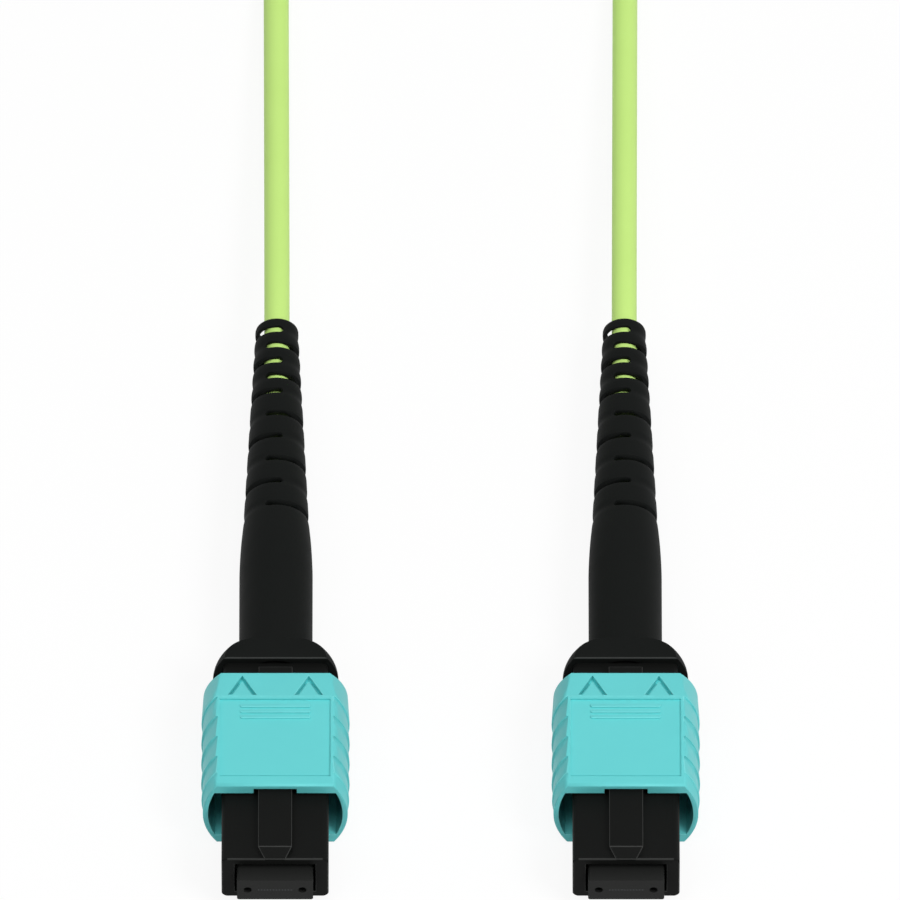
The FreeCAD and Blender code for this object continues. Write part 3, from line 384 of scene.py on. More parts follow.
def merged_copy(node: str) -> bmesh.types.BMesh:
    """Copy a CAD node's mesh with its loose triangles joined and its flat faces made whole.

    Args:
        node: The CAD node's name.

    Returns:
        The joined mesh, for a piece that replaces the node.
    """
    shape = bmesh.new()
    shape.from_mesh(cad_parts[node].data)
    bmesh.ops.remove_doubles(shape, verts=shape.verts, dist=MERGE_DISTANCE)
    bmesh.ops.dissolve_limit(shape, angle_limit=math.radians(FLAT_ANGLE), verts=shape.verts,
                             edges=shape.edges)
    return shape


def round_off(shape: bmesh.types.BMesh, geom: list[bmesh.types.BMEdge | bmesh.types.BMVert],
              offset: float, segments: int, affect: str = "EDGES") -> list[bmesh.types.BMFace]:
    """Round some edges or corners of a shape.

    Args:
        shape: The shape to change.
        geom: The edges or corners to round.
        offset: How far from each the rounding starts, in metres.
        segments: Steps across the rounding.
        affect: EDGES, or VERTICES for the corners of a wire.

    Returns:
        The faces that this adds.
    """
    made = bmesh.ops.bevel(shape, geom=geom, offset=offset, offset_type="OFFSET",
                           segments=segments, profile=0.5, affect=affect, material=-1)
    return made["faces"]


def round_edges(shape: bmesh.types.BMesh, edges: list[bmesh.types.BMEdge], width_mm: float) -> None:
    """Round some edges of a shape and mark the new faces, so that a finish paints a highlight on
    them.

    Args:
        shape: The joined mesh.
        edges: The edges to round.
        width_mm: How far from an edge its rounding starts, in millimetres.
    """
    layers = shape.faces.layers.float
    layer = layers.get(PAINTED_HIGHLIGHT_LAYER) or layers.new(PAINTED_HIGHLIGHT_LAYER)
    for face in round_off(shape, edges, width_mm * MM, EDGE_SEGMENTS):
        face[layer] = 1.0


def is_chamfer(face: bmesh.types.BMFace, sharp: set[bmesh.types.BMEdge]) -> bool:
    """Tell whether a face is a narrow strip with sharp edges along its sides.

    Args:
        face: The face to look at.
        sharp: The sharp outer edges of its shape.

    Returns:
        True for a chamfer.
    """
    longest = max(edge.calc_length() for edge in face.edges)
    bordered = sum(edge.calc_length() for edge in face.edges if edge in sharp)
    return face.calc_area() < CHAMFER_MM * MM * longest and longest < bordered


def soften_edges(shape: bmesh.types.BMesh, width_mm: float, thin_rear: bool = False) -> None:
    """Round a moulded piece's sharp outer edges a little, so that they catch the light.

    The piece stays inside its own box. Corners that are crowded with short edges are spared.
    Rounded edges and chamfers are marked for a painted highlight.

    Args:
        shape: The joined mesh.
        width_mm: How far from the edge the rounding starts, in millimetres.
        thin_rear: Whether the wall is too thin at the rear end for its edges to be rounded.
    """
    low = Vector(min(vertex.co[axis] for vertex in shape.verts) for axis in range(3))
    high = Vector(max(vertex.co[axis] for vertex in shape.verts) for axis in range(3))
    crowded = [edge for edge in shape.edges if edge.calc_length() < 2 * width_mm * MM]
    spared = {vertex for edge in crowded for vertex in edge.verts}
    if thin_rear:
        rear = high.y - MERGE_DISTANCE
        spared.update(vertex for vertex in shape.verts if vertex.co.y > rear)
    sharp = [edge for edge in shape.edges
             if edge.is_convex and edge.calc_face_angle(0) > math.radians(SHARP_ANGLE)]
    # Chamfers and rounded edges are marked for the finish's painted highlight.
    layer = shape.faces.layers.float.new(PAINTED_HIGHLIGHT_LAYER)
    borders = set(sharp)
    for face in shape.faces:
        if is_chamfer(face, borders):
            face[layer] = 1.0
    round_edges(shape, [edge for edge in sharp if not spared.intersection(edge.verts)], width_mm)
    for vertex in shape.verts:
        vertex.co = (min(max(value, least), most)
                     for value, least, most in zip(vertex.co, low, high))


def cut_from(piece: bpy.types.Object, cutters: Iterable[bmesh.types.BMesh]) -> None:
    """Cut shapes out of a piece and keep the result as its mesh.

    Args:
        piece: The mesh object to cut.
        cutters: Closed shapes, which are freed.
    """
    for cutter in cutters:
        tool = new_piece("cutter", cutter)
        cut = piece.modifiers.new("cut", "BOOLEAN")
        cut.operation = "DIFFERENCE"
        cut.solver = "EXACT"
        cut.object = tool
        evaluated = piece.evaluated_get(bpy.context.evaluated_depsgraph_get())
        result = bpy.data.meshes.new_from_object(evaluated)
        piece.modifiers.remove(cut)
        old = piece.data
        piece.data = result
        bpy.data.meshes.remove(old)
        bpy.data.objects.remove(tool)


def close_wire(shape: bmesh.types.BMesh, corners: list[bmesh.types.BMVert]) -> None:
    """Join corners in order by edges, the last one to the first.

    Args:
        shape: The shape that holds the corners.
        corners: The corners in order.
    """
    for first, second in zip(corners, corners[1:] + corners[:1]):
        shape.edges.new((first, second))


def prism(outline: Iterable[Vector], depth: float) -> bmesh.types.BMesh:
    """Raise a flat outline straight up.

    Args:
        outline: Corners in order, all at one height.
        depth: The height of the prism in metres.

    Returns:
        The closed prism.
    """
    shape = bmesh.new()
    base = shape.faces.new([shape.verts.new(corner) for corner in outline])
    raised = bmesh.ops.extrude_face_region(shape, geom=[base])
    tops = [item for item in raised["geom"] if isinstance(item, bmesh.types.BMVert)]
    bmesh.ops.translate(shape, verts=tops, vec=(0, 0, depth))
    bmesh.ops.recalc_face_normals(shape, faces=shape.faces)
    return shape


@dataclass
class Sleeve:
    """The aqua coupling sleeve of one plug, with its arrow grooves and grip ridges."""

    mark: str
    edge_mm: float = 0.05
    arrow_offset_mm: float = 2.8
    arrow_half_width_mm: float = 1.2
    arrow_start_mm: float = 0.2
    arrow_length_mm: float = 2.32
    groove_width_mm: float = 0.37
    groove_depth_mm: float = 0.5
    collar_length_mm: float = 2.8
    collar_drop_mm: float = 0.35
    panel_depth_mm: float = 0.2
    panel_width_mm: float = 9.3
    panel_length_mm: float = 8.65
    lip_length_mm: float = 0.27
    gutter_width_mm: float = 0.22
    gutter_depth_mm: float = 0.08
    ridge_count: int = 3
    ridge_pitch_mm: float = 0.6
    ridge_length_mm: float = 5.9
    ridge_width_mm: float = 0.32
    ridge_height_mm: float = 0.17
    ridge_setback_mm: float = 0.95
    ridge_edge_mm: float = 0.05
    ridge_end_segments: int = 6

    def __post_init__(self) -> None:
        """Read the sleeve's place from its CAD node."""
        self.node = f"coupling_sleeve_{self.mark}"
        self.body = f"sleeve_{self.mark}"
        self.low, self.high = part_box(self.node)
        self.axis = (self.low + self.high) / 2
        self.collar_y = self.high.y - self.collar_length_mm * MM
        self.panel_z = self.high.z - self.panel_depth_mm * MM

    def build(self) -> None:
        """Make the sleeve, the lip of its panel and its grip ridges."""
        shell = new_piece(f"moulded_{self.node}", merged_copy(self.node))
        cut_from(shell, [*(self.arrow_cutter(side) for side in Side), self.gutter_cutter()])
        shape = bmesh.new()
        shape.from_mesh(shell.data)
        soften_edges(shape, self.edge_mm, thin_rear=True)
        settle(shape, shell.data)
        flatten_shading(shell)
        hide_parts(self.node)
        dress(shell, AQUA_POLYESTER, self.body, Slot.SLEEVE)
        self.raise_panel_lip()
        self.raise_grip_ridges()

    def arrow_cutter(self, side: Side) -> bmesh.types.BMesh:
        """Make the cutter of one arrow groove, an open arrowhead that points to the cable.

        Args:
            side: Which of the two grooves.

        Returns:
            A closed shape that follows the collar's slope.
        """
        centre = self.axis.x + side.value * self.arrow_offset_mm * MM
        half, length = self.arrow_half_width_mm * MM, self.arrow_length_mm * MM
        stroke, depth = self.groove_width_mm * MM, self.groove_depth_mm * MM
        start = self.collar_y + self.arrow_start_mm * MM
        tip = start + length
        outline = [
            (centre - half, start), (centre, tip), (centre + half, start),
            (centre + half - stroke, start), (centre, tip - stroke * length / half),
            (centre - half + stroke, start),
        ]
        cutter = prism([Vector((x, y, -depth)) for x, y in outline], 3 * depth)
        slope = self.collar_drop_mm / self.collar_length_mm
        for vertex in cutter.verts:
            vertex.co.z += self.high.z - slope * max(0.0, vertex.co.y - self.collar_y)
        return cutter

    def panel_bar(self, front: float, rear: float, bottom: float) -> bmesh.types.BMesh:
        """Make a bar across the panel, as high as the panel is sunk.

        Args:
            front: Y of its side towards the ferrule.
            rear: Y of its side towards the cable.
            bottom: Z of its underside.

        Returns:
            The closed bar.
        """
        half = self.panel_width_mm * MM / 2
        left, right = self.axis.x - half, self.axis.x + half
        corners = ((left, front), (right, front), (right, rear), (left, rear))
        return prism([Vector((x, y, bottom)) for x, y in corners], self.panel_depth_mm * MM)

    def gutter_cutter(self) -> bmesh.types.BMesh:
        """Make the cutter of the fine gutter along the panel's front border.

        Returns:
            A bar that is sunk into the panel.
        """
        front = self.collar_y - self.panel_length_mm * MM
        rear = front + self.gutter_width_mm * MM
        return self.panel_bar(front, rear, self.panel_z - self.gutter_depth_mm * MM)

    def raise_panel_lip(self) -> None:
        """Raise the level lip between the collar and the panel."""
        front = self.collar_y - self.lip_length_mm * MM
        shape = self.panel_bar(front, self.collar_y, self.panel_z)
        lip = new_piece(f"panel_lip_{self.mark}", shape)
        dress(lip, AQUA_POLYESTER, self.body, Slot.SLEEVE)

    def raise_grip_ridges(self) -> None:
        """Raise short ridges with round ends across the panel, for the finger that pulls."""
        shape = bmesh.new()
        size = Vector((self.ridge_length_mm, self.ridge_width_mm, self.ridge_height_mm)) * MM
        for index in range(self.ridge_count):
            y = self.collar_y - (self.ridge_setback_mm + index * self.ridge_pitch_mm) * MM
            place = Matrix.Translation((self.axis.x, y, self.panel_z + size.z / 2))
            bmesh.ops.create_cube(shape, size=1.0, matrix=place @ Matrix.Diagonal((*size, 1.0)))
        upright = [edge for edge in shape.edges
                   if abs(edge.verts[0].co.z - edge.verts[1].co.z) > size.z / 2]
        round_off(shape, upright, ROUND_END * size.y, self.ridge_end_segments)
        top = self.panel_z + size.z
        rim = [edge for edge in shape.edges
               if all(abs(vertex.co.z - top) < MERGE_DISTANCE for vertex in edge.verts)]
        # The ridges' rounded top edges are marked for the sleeve's painted highlight.
        round_edges(shape, rim, self.ridge_edge_mm)
        ridges = new_piece(f"grip_ridges_{self.mark}", shape)
        dress(ridges, AQUA_POLYESTER, self.body, Slot.SLEEVE)


@dataclass
class Spring:
    """A round-wire compression spring, wound in its CAD node's place."""

    node: str
    joint: str
    travel_mm: float
    wire_mm: float
    turns: float
    wire_sides: int = 12
    steps_per_turn: int = 28

    def build(self) -> None:
        """Wind the wire around the spring's axis."""
        low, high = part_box(self.node)
        axis = (low + high) / 2
        wire = self.wire_mm * MM
        radius = (high.x - low.x - wire) / 2
        shape = bmesh.new()
        start = Matrix.Translation((axis.x + radius, low.y + wire / 2, axis.z))
        ring = bmesh.ops.create_circle(shape, segments=self.wire_sides, radius=wire / 2,
                                       matrix=start)
        steps = round(self.turns * self.steps_per_turn)
        rise = (high.y - low.y - wire) / steps
        bmesh.ops.spin(shape, geom=ring["verts"] + list(shape.edges), cent=axis, axis=(0, 1, 0),
                       dvec=(0, rise, 0), angle=math.tau * self.turns, steps=steps)
        bmesh.ops.holes_fill(shape, edges=shape.edges)
        bmesh.ops.recalc_face_normals(shape, faces=shape.faces)
        piece = new_piece(f"wound_{self.node}", shape)
        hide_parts(self.node)
        dress(piece, SPRING_STEEL, ROOT_BODY, Slot.SPRING)
        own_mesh(piece)


@dataclass
class Boot:
    """The rubber strain relief boot of one plug, with soft rings between its slots."""

    mark: str
    flange_radius_mm: float = 5.3
    flange_band_mm: float = 0.05
    flange_edge_mm: float = 0.1
    barrel_radius_mm: float = 3.1
    barrel_end_mm: float = 13.3
    flat_clearance_mm: float = 0.003
    tail_start_mm: float = 19.7
    tail_radius_mm: float = 2.66
    shoulder_round_mm: float = 2.2
    tip_radius_mm: float = 1.815
    tip_round_mm: float = 0.27
    bore_radius_mm: float = 1.525
    neck_radius_mm: float = 1.495
    neck_start_mm: float = 9.95
    neck_end_mm: float = 14.45
    ring_room_mm: float = 2.75
    ring_end_mm: float = 7.95
    slot_setback_mm: float = 1.25
    fine_count: int = 4
    fine_pitch_mm: float = 1.75
    fine_width_mm: float = 0.75
    coarse_count: int = 6
    coarse_pitch_mm: float = 2.56
    coarse_width_mm: float = 0.62
    left_reach_mm: float = 0.55
    right_reach_mm: float = 0.95
    slot_end_segments: int = 5
    waist_depth_mm: float = 0.1
    waist_reach_mm: float = 0.25
    waist_round_mm: float = 0.2
    large_round_mm: float = 1.0
    large_segments: int = 12
    small_segments: int = 3
    steps: int = 96

    def __post_init__(self) -> None:
        """Read the boot's place from its CAD node."""
        self.node = f"strain_relief_boot_{self.mark}"
        low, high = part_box(self.node)
        self.front = Vector(((low.x + high.x) / 2, low.y, (low.z + high.z) / 2))
        self.length_mm = (high.y - low.y) / MM

    def slots(self) -> list[tuple[float, float, Side]]:
        """List the slots from the mouth inwards.

        Returns:
            Each slot's middle and width in millimetres, and the side it is cut from.
        """
        found = []
        middle = self.length_mm - self.slot_setback_mm
        for index in range(self.fine_count + self.coarse_count):
            fine = index < self.fine_count
            side = Side.LEFT if index % 2 == 0 else Side.RIGHT
            found.append((middle, self.fine_width_mm if fine else self.coarse_width_mm, side))
            middle -= self.fine_pitch_mm if fine else self.coarse_pitch_mm
        return found

    def skin(self, place: float) -> float:
        """Radius of the tapered tail at a distance from the boot's front, in millimetres."""
        share = (place - self.tail_start_mm) / (self.length_mm - self.tail_start_mm)
        return self.tail_radius_mm + share * (self.tip_radius_mm - self.tail_radius_mm)

    def corners(self) -> list[tuple[float, float, float]]:
        """List the corners of half of the boot's section, from the flange round to the bore.

        Returns:
            Radius, distance from the boot's front and rounding of each corner, in millimetres.
        """
        dome = self.flange_radius_mm - self.barrel_radius_mm
        dome_end = self.flange_band_mm + dome
        found = [
            (self.flange_radius_mm, 0.0, 0.0),
            (self.flange_radius_mm, dome_end, dome),
            (self.barrel_radius_mm, dome_end, 0.0),
            (self.barrel_radius_mm, self.barrel_end_mm, self.shoulder_round_mm),
        ]
        for middle, width, _ in reversed(self.slots()):
            reach = width / 2 + self.waist_reach_mm
            found += [
                (self.skin(middle - reach), middle - reach, self.waist_round_mm),
                (self.skin(middle) - self.waist_depth_mm, middle, self.waist_round_mm),
                (self.skin(middle + reach), middle + reach, self.waist_round_mm),
            ]
        return found + [
            (self.tip_radius_mm, self.length_mm, self.tip_round_mm),
            (self.bore_radius_mm, self.length_mm, 0.0),
            (self.bore_radius_mm, self.neck_end_mm, 0.0),
            (self.neck_radius_mm, self.neck_end_mm, 0.0),
            (self.neck_radius_mm, self.neck_start_mm, 0.0),
            (self.ring_room_mm, self.ring_end_mm, 0.0),
            (self.ring_room_mm, 0.0, 0.0),
        ]

    def profile(self) -> bmesh.types.BMesh:
        """Draw half of the boot's section with its corners rounded.

        Returns:
            A closed wire in the plane of the boot's axis, which is Y.
        """
        corners = self.corners()
        shape = bmesh.new()
        verts = [shape.verts.new((radius * MM, place * MM, 0)) for radius, place, _ in corners]
        close_wire(shape, verts)
        for rounding in sorted({corner[2] for corner in corners} - {0.0}):
            soft = [vert for vert, corner in zip(verts, corners) if corner[2] == rounding]
            large = rounding > self.large_round_mm
            round_off(shape, soft, rounding * MM,
                      self.large_segments if large else self.small_segments, "VERTICES")
        return shape

    def build(self) -> None:
        """Turn the boot, cut its two flats and its slots, and dress it."""
        shape = self.profile()
        bmesh.ops.spin(shape, geom=list(shape.verts) + list(shape.edges), cent=(0, 0, 0),
                       axis=(0, 1, 0), angle=math.tau, steps=self.steps, use_merge=True)
        bmesh.ops.remove_doubles(shape, verts=shape.verts, dist=MERGE_DISTANCE)
        bmesh.ops.recalc_face_normals(shape, faces=shape.faces)
        for facing in (-1, 1):
            self.cut_flat(shape, facing)
        bmesh.ops.translate(shape, verts=shape.verts, vec=self.front)
        piece = new_piece(f"moulded_{self.node}", shape)
        cut_from(piece, [self.slot_cutter(*slot) for slot in self.slots()])
        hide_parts(self.node)
        dress(piece, BOOT_RUBBER, ROOT_BODY, Slot.BOOT)

    def cut_flat(self, shape: bmesh.types.BMesh, facing: int) -> None:
        """Cut the flange off level with the barrel and round the long edge that this leaves.

        Args:
            shape: The turned boot, with its axis on Y.
            facing: 1 for the flat above the axis, -1 for the one below it.
        """
        level = facing * (self.barrel_radius_mm + self.flat_clearance_mm) * MM
        whole = list(shape.verts) + list(shape.edges) + list(shape.faces)
        cut = bmesh.ops.bisect_plane(shape, geom=whole, plane_co=(0, 0, level),
                                     plane_no=(0, 0, facing), clear_outer=True)
        rim = [item for item in cut["geom_cut"] if isinstance(item, bmesh.types.BMEdge)]
        bmesh.ops.edgeloop_fill(shape, edges=rim)
        bmesh.ops.recalc_face_normals(shape, faces=shape.faces)
        front = [edge for edge in rim if all(vert.co.y < MERGE_DISTANCE for vert in edge.verts)]
        # The rounded front edge is marked for the rubber's painted highlight.
        round_edges(shape, front, self.flange_edge_mm)

    def slot_cutter(self, middle: float, width: float, side: Side) -> bmesh.types.BMesh:
        """Make the cutter of one slot, whose inner end is round.

        Args:
            middle: The slot's distance from the boot's front in millimetres.
            width: Its width along the boot in millimetres.
            side: The side that it is cut from.

        Returns:
            A slab that stands clear of the boot above, below and outside.
        """
        clear = 2 * self.barrel_radius_mm
        reach = self.left_reach_mm if side is Side.LEFT else self.right_reach_mm
        inner, outer = -side.value * reach, side.value * clear
        near, far = middle - width / 2, middle + width / 2
        corners = ((outer, near), (inner, near), (inner, far), (outer, far))
        cutter = prism([Vector((x, y, -clear)) * MM for x, y in corners], 2 * clear * MM)
        upright = [edge for edge in cutter.edges
                   if all(abs(vert.co.x - inner * MM) < MERGE_DISTANCE for vert in edge.verts)
                   and abs(edge.verts[0].co.z - edge.verts[1].co.z) > MERGE_DISTANCE]
        round_off(cutter, upright, ROUND_END * width * MM, self.slot_end_segments)
        bmesh.ops.translate(cutter, verts=cutter.verts, vec=self.front)
        return cutter


@dataclass
class Plug:
    """One push-on plug: its sleeve, frame, boot and the pieces inside them."""

    mark: str
    frame_edge_mm: float = 0.055
    fibre_count: int = 12
    fibre_pitch_mm: float = 0.25
    fibre_diameter_mm: float = 0.125
    fibre_length_mm: float = 2.25
    fibre_sides: int = 16
    ferrule_travel_mm: float = 1.0
    ferrule_wire_mm: float = 0.4
    ferrule_turns: float = 5.0
    sleeve_travel_mm: float = 1.6
    coupling_wire_mm: float = 0.22
    coupling_turns: float = 6.0

    INNER_FINISHES: ClassVar[dict[str, Finish]] = {
        "ferrule": FERRULE_PPS,
        "back_post": BLACK_POLYESTER,
        "pin_keeper": BLACK_POLYESTER,
        "ferrule_sock": BOOT_RUBBER,
        "fibre_ribbon": RIBBON_ACRYLATE,
        "aramid_yarn": ARAMID,
        "crimp_ring": CRIMP_ALUMINIUM,
    }

    def build(self) -> None:
        """Make and dress every piece of the plug."""
        Sleeve(self.mark).build()
        self.mould_frame()
        Boot(self.mark).build()
        self.lay_fibres()
        self.wind_springs()
        self.dress_inner_nodes()

    def mould_frame(self) -> None:
        """Replace the plug frame by a copy of it with softened edges that carry a painted
        highlight.
        """
        node = f"plug_frame_{self.mark}"
        shape = merged_copy(node)
        soften_edges(shape, self.frame_edge_mm)
        piece = new_piece(f"moulded_{node}", shape)
        flatten_shading(piece)
        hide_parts(node)
        dress(piece, BLACK_POLYESTER, ROOT_BODY, Slot.FRAME)

    def lay_fibres(self) -> None:
        """Fill the ferrule's holes with bare fibres, ground flush with its end face."""
        low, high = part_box(f"ferrule_{self.mark}")
        axis = (low + high) / 2
        length = self.fibre_length_mm * MM
        radius = self.fibre_diameter_mm * MM / 2
        along = Matrix.Rotation(math.pi / 2, 4, "X")
        shape = bmesh.new()
        for index in range(self.fibre_count):
            across = (index - (self.fibre_count - 1) / 2) * self.fibre_pitch_mm * MM
            place = Matrix.Translation((axis.x + across, low.y + length / 2, axis.z))
            bmesh.ops.create_cone(shape, cap_ends=True, segments=self.fibre_sides, radius1=radius,
                                  radius2=radius, depth=length, matrix=place @ along)
        fibres = new_piece(f"bare_fibres_{self.mark}", shape)
        dress(fibres, SILICA, f"ferrule_unit_{self.mark}", Slot.RIBBON)

    def wind_springs(self) -> None:
        """Make the ferrule spring and the two coupling springs."""
        Spring(f"ferrule_spring_{self.mark}", f"ferrule_slide_{self.mark}",
               self.ferrule_travel_mm, self.ferrule_wire_mm, self.ferrule_turns).build()
        for side in Side:
            Spring(f"coupling_spring_{side.name.lower()}_{self.mark}", f"sleeve_slide_{self.mark}",
                   self.sleeve_travel_mm, self.coupling_wire_mm, self.coupling_turns).build()

    def dress_inner_nodes(self) -> None:
        """Give the CAD pieces inside the plug their finishes."""
        for name, finish in self.INNER_FINISHES.items():
            node = f"{name}_{self.mark}"
            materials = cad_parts[node].data.materials
            materials.clear()
            materials.append(finish.material())
            LOG.info("%s is dressed in %s", node, finish.name)


@dataclass
class Cable:
    """The one cable between the plugs: two leads and the coil that takes up its length."""

    diameter_mm: float = 2.15
    jacket_length_m: float = 0.92
    start_y_mm: float = 2.5
    crimp_y_mm: float = 12.0
    slots_y_mm: float = 23.5
    sag_y_mm: float = 34.0
    landing_y_mm: float = 71.5
    spread_mm: float = 0.19
    lift_mm: float = 0.4
    drift_y_mm: float = 76.0
    join_y_mm: float = 92.5
    turns: float = 8.5
    points_per_turn: int = 16
    coil_diameter_mm: float = 27.6
    turn_pitch_mm: float = 2.3
    strap_angle: float = 90.0
    strap_reach: float = 20.0
    strap_squeeze: float = 0.8
    section_steps: int = 6
    length_steps: int = 6

    # Places of successive turns in the bundle, as columns outwards and rows upwards.
    PLACES: ClassVar[tuple[tuple[int, int], ...]] = (
        (1, -1), (0, -1), (-1, -1), (-1, 0), (0, 0), (-1, 1), (0, 1), (1, 1), (1, 0))

    def __post_init__(self) -> None:
        """Read the plugs' axes and the coil's middle from the CAD nodes."""
        low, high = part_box("strain_relief_boot_b")
        self.plug_x, self.axis_z = (low.x + high.x) / 2, (low.z + high.z) / 2
        self.mouth_y = high.y
        low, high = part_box("cable_coil")
        self.section = high.z - low.z
        self.centre = (low + high) / 2

    def lead(self, side: Side, join_row: int) -> list[Vector]:
        """The route of one lead, from inside its plug to the coil.

        Args:
            side: Which plug it comes from.
            join_row: The row of the bundle that it joins the coil in.

        Returns:
            The route's points, the plug's first.
        """
        floor = self.diameter_mm * MM / 2
        x = side.value * self.plug_x
        wide = x + side.value * self.spread_mm * MM
        outer = side.value * (self.coil_diameter_mm / 2 + self.turn_pitch_mm) * MM
        join_z = self.centre.z + join_row * self.turn_pitch_mm * MM
        lifted = self.axis_z + self.lift_mm * MM
        return [
            Vector((x, self.start_y_mm * MM, self.axis_z)),
            Vector((x, self.crimp_y_mm * MM, self.axis_z)),
            Vector((x, self.slots_y_mm * MM, lifted)),
            Vector((x, self.sag_y_mm * MM, lifted)),
            Vector((wide, self.landing_y_mm * MM, floor)),
            Vector((wide, self.drift_y_mm * MM, floor)),
            Vector((outer, self.join_y_mm * MM, join_z)),
        ]

    def coil(self) -> list[Vector]:
        """The coil's turns, clockwise from the left lead to the right one.

        Returns:
            Control points, each turn shifting to the bundle's next place on the plugs' side.
        """
        step = math.tau / self.points_per_turn
        # A spline of order 3 runs inside its control points, so these lie a little further out.
        swell = 4 / (3 + math.cos(step))
        points = []
        for index in range(round(self.turns * self.points_per_turn)):
            progress = (index + 0.5) / self.points_per_turn
            angle = math.pi - math.tau * progress
            column, row = self.place(progress)
            pitch = self.squeeze(angle) * self.turn_pitch_mm
            radius = (self.coil_diameter_mm / 2 + column * pitch) * MM * swell
            across, along = radius * math.cos(angle), radius * math.sin(angle)
            points.append(self.centre + Vector((across, along, row * pitch * MM)))
        return points

    def place(self, progress: float) -> tuple[float, float]:
        """Find a turn's place in the bundle, which shifts over the half turn near the plugs.

        Args:
            progress: Turns from the start of the coil.

        Returns:
            The column and the row, from the bundle's middle.
        """
        turn = int(progress)
        share = max(0.0, 2 * (progress - turn) - 1)
        share = share * share * (3 - 2 * share)
        here, there = self.PLACES[turn], self.PLACES[min(turn + 1, len(self.PLACES) - 1)]
        return tuple(a + share * (b - a) for a, b in zip(here, there))

    def squeeze(self, angle: float) -> float:
        """How far the strap pulls the turns together at an angle round the coil."""
        away = (math.degrees(angle) - self.strap_angle + 180) % 360 - 180
        return self.strap_squeeze if abs(away) < self.strap_reach else 1.0

    def build(self) -> None:
        """Lay the cable as one smooth line and strap its coil."""
        left = self.lead(Side.LEFT, self.PLACES[0][1])
        right = self.lead(Side.RIGHT, self.PLACES[-1][1])
        route = left + self.coil() + right[::-1]
        curve = bpy.data.curves.new("jacketed_cable", "CURVE")
        curve.dimensions = "3D"
        curve.bevel_depth = self.diameter_mm * MM / 2
        curve.bevel_resolution = self.section_steps
        curve.resolution_u = self.length_steps
        curve.use_fill_caps = True
        spline = curve.splines.new("NURBS")
        spline.points.add(len(route) - 1)
        for point, place in zip(spline.points, route):
            point.co = (*place, 1.0)
        spline.order_u = 3
        spline.use_endpoint_u = True
        piece = add_object("jacketed_cable", curve)
        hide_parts("cable_lead_a", "cable_lead_b", "cable_coil")
        dress(piece, LIME_JACKET, ROOT_BODY, Slot.CABLE)
        strap = Strap(self.centre, self.coil_diameter_mm, self.section).build()


@dataclass
class Strap:
    """The hook-and-loop strap around the coil."""

    centre: Vector
    coil_diameter_mm: float
    outside: float
    thickness_mm: float = 0.5
    corner_mm: float = 1.4
    corner_segments: int = 5
    sweep: float = 32.0
    steps: int = 10
    smooth_angle: float = 60.0

    def build(self) -> bpy.types.Object:
        """Make the strap as a closed band swept along the coil.

        Returns:
            The strap.
        """
        half, radius = self.outside / 2, self.coil_diameter_mm * MM / 2
        shape = bmesh.new()
        corners = [shape.verts.new((0, radius + x * half, z * half))
                   for x, z in ((-1, -1), (1, -1), (1, 1), (-1, 1))]
        close_wire(shape, corners)
        round_off(shape, corners, self.corner_mm * MM, self.corner_segments, "VERTICES")
        turn = Matrix.Rotation(math.radians(-self.sweep / 2), 4, "Z")
        bmesh.ops.transform(shape, verts=shape.verts, matrix=turn)
        bmesh.ops.spin(shape, geom=list(shape.verts) + list(shape.edges), cent=(0, 0, 0),
                       axis=(0, 0, 1), angle=math.radians(self.sweep), steps=self.steps)
        bmesh.ops.recalc_face_normals(shape, faces=shape.faces)
        bmesh.ops.translate(shape, verts=shape.verts, vec=self.centre)
        piece = new_piece("hook_and_loop_strap", shape, self.smooth_angle)
        wall = piece.modifiers.new("thickness", "SOLIDIFY")
        wall.thickness = self.thickness_mm * MM
        wall.offset = -1
        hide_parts("coil_tie")
        return dress(piece, LOOP_NYLON, ROOT_BODY, Slot.STRAP)


@dataclass(frozen=True)
class Softbox:
    """A square lamp that faces the plugs: its place and side in metres, its power in watts."""

    name: str
    place: tuple[float, float, float]
    side: float
    power: float

    def hang(self) -> None:
        """Hang the lamp in its place, turned to the middle of the object."""
        lamp = bpy.data.lights.new(self.name, "AREA")
        lamp.shape = "SQUARE"
        lamp.size = self.side
        lamp.energy = self.power
        holder = add_object(self.name, lamp)
        holder.location = self.place
        holder.rotation_euler = Vector(self.place).to_track_quat("Z", "Y").to_euler()


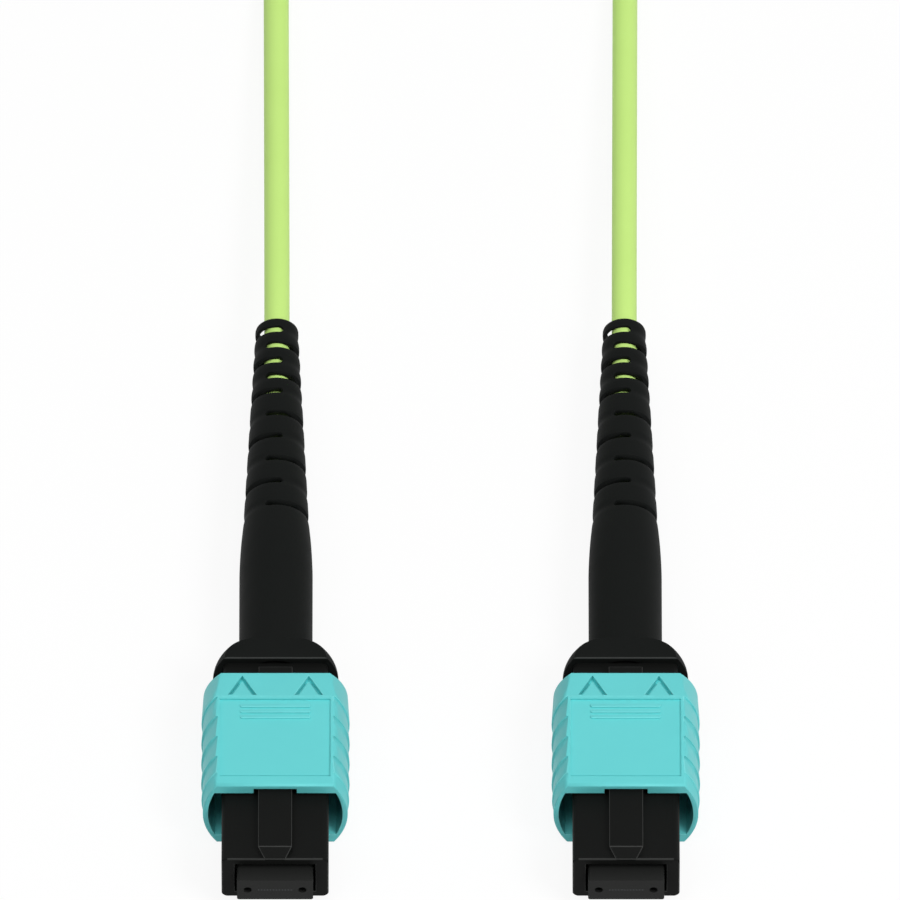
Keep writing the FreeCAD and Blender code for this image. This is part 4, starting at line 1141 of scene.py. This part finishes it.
@dataclass
class Studio:
    """The pale floor, soft light and camera of the photograph."""

    aim_mm: tuple[float, float, float] = (-0.05, 17.6, 3.585)
    elevation: float = 50.52
    distance: float = 3.5
    lens_mm: float = 1652.0
    sensor_mm: float = 36.0
    floor_size: float = 1.2
    floor_drop_mm: float = 0.05
    floor_reflectance: float = 0.75
    floor_glow: float = 1.05
    floor_glow_share: float = 0.85
    room_light: float = 0.28

    SOFTBOXES: ClassVar[tuple[Softbox, ...]] = (
        Softbox("right_softbox", (0.5, -0.4, 0.77), 0.35, 4.4),
        Softbox("left_softbox", (-0.42, -0.5, 0.76), 0.35, 1.1),
        Softbox("top_softbox", (0.0, -0.22, 0.975), 0.5, 2.75),
    )
    WHITE: ClassVar[tuple[float, float, float, float]] = (1.0, 1.0, 1.0, 1.0)

    def build(self) -> None:
        """Set up everything around the object."""
        self.lay_floor()
        self.light_room()
        for softbox in self.SOFTBOXES:
            softbox.hang()
        self.place_camera()
        bpy.context.scene.view_settings.view_transform = "Standard"

    @staticmethod
    def seen_rays(tree: bpy.types.NodeTree) -> bpy.types.NodeSocket:
        """Find the rays that see the room directly, in a reflection or through something clear.

        Args:
            tree: The node tree to add to.

        Returns:
            A socket that is 1 for those rays and 0 for the others.
        """
        path = add_node(tree, "ShaderNodeLightPath")
        seen = path.outputs["Is Camera Ray"]
        for ray in ("Is Glossy Ray", "Is Transmission Ray"):
            either = add_node(tree, "ShaderNodeMath", {"operation": "MAXIMUM"})
            tree.links.new(seen, either.inputs[0])
            tree.links.new(path.outputs[ray], either.inputs[1])
            seen = either.outputs["Value"]
        return seen

    def lay_floor(self) -> None:
        """Lay the floor, which the camera sees as white with a faint shadow."""
        shape = bmesh.new()
        bmesh.ops.create_grid(shape, x_segments=1, y_segments=1, size=self.floor_size,
                              matrix=Matrix.Translation((0, 0, -self.floor_drop_mm * MM)))
        floor = new_piece("floor", shape)
        made = bpy.data.materials.new("pale_floor")
        tree = empty_tree(made)
        grey = (*[self.floor_reflectance] * 3, 1.0)
        matte = add_node(tree, "ShaderNodeBsdfDiffuse", Color=grey)
        glow = add_node(tree, "ShaderNodeEmission", Color=self.WHITE, Strength=self.floor_glow)
        share = add_node(tree, "ShaderNodeMath", {"operation": "MULTIPLY"})
        tree.links.new(self.seen_rays(tree), share.inputs[0])
        share.inputs[1].default_value = self.floor_glow_share
        mix = add_node(tree, "ShaderNodeMixShader", Fac=share.outputs["Value"])
        tree.links.new(matte.outputs["BSDF"], mix.inputs[1])
        tree.links.new(glow.outputs["Emission"], mix.inputs[2])
        add_node(tree, "ShaderNodeOutputMaterial", Surface=mix.outputs["Shader"])
        floor.data.materials.append(made)
        floor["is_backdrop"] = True

    def light_room(self) -> None:
        """Fill the room with even light, white where it is seen directly or in a reflection."""
        world = bpy.data.worlds.new("studio")
        bpy.context.scene.world = world
        tree = empty_tree(world)
        level = add_node(tree, "ShaderNodeMapRange", Value=self.seen_rays(tree),
                         To_Min=self.room_light, To_Max=1.0)
        light = add_node(tree, "ShaderNodeBackground", Color=self.WHITE,
                         Strength=level.outputs["Result"])
        add_node(tree, "ShaderNodeOutputWorld", Surface=light.outputs["Background"])

    def place_camera(self) -> None:
        """Stand the long-lens camera in front of the plugs, looking down on them."""
        camera = bpy.data.cameras.new("camera")
        camera.lens = self.lens_mm
        camera.sensor_width = self.sensor_mm
        camera.clip_end = 2 * self.distance
        holder = add_object("camera", camera)
        tilt = math.radians(self.elevation)
        back = Vector((0, -math.cos(tilt), math.sin(tilt)))
        holder.location = Vector(self.aim_mm) * MM + back * self.distance
        holder.rotation_euler = (math.pi / 2 - tilt, 0, 0)
        bpy.context.scene.camera = holder


def write_sizes() -> None:
    """Measure the visual model's box next to the CAD box; the result is not kept."""
    boxes = {"cad": CAD_BOX, "visual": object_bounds()}
    {name: [list(corner) for corner in box] for name, box in boxes.items()}


def main() -> None:
    """Build the cable, its plugs and the studio around them."""
    logging.basicConfig(level=logging.INFO, format="%(name)s: %(message)s")
    Cable().build()
    for mark in PLUG_MARKS:
        Plug(mark).build()
    Studio().build()
    write_sizes()


if __name__ == "__main__":
    main()
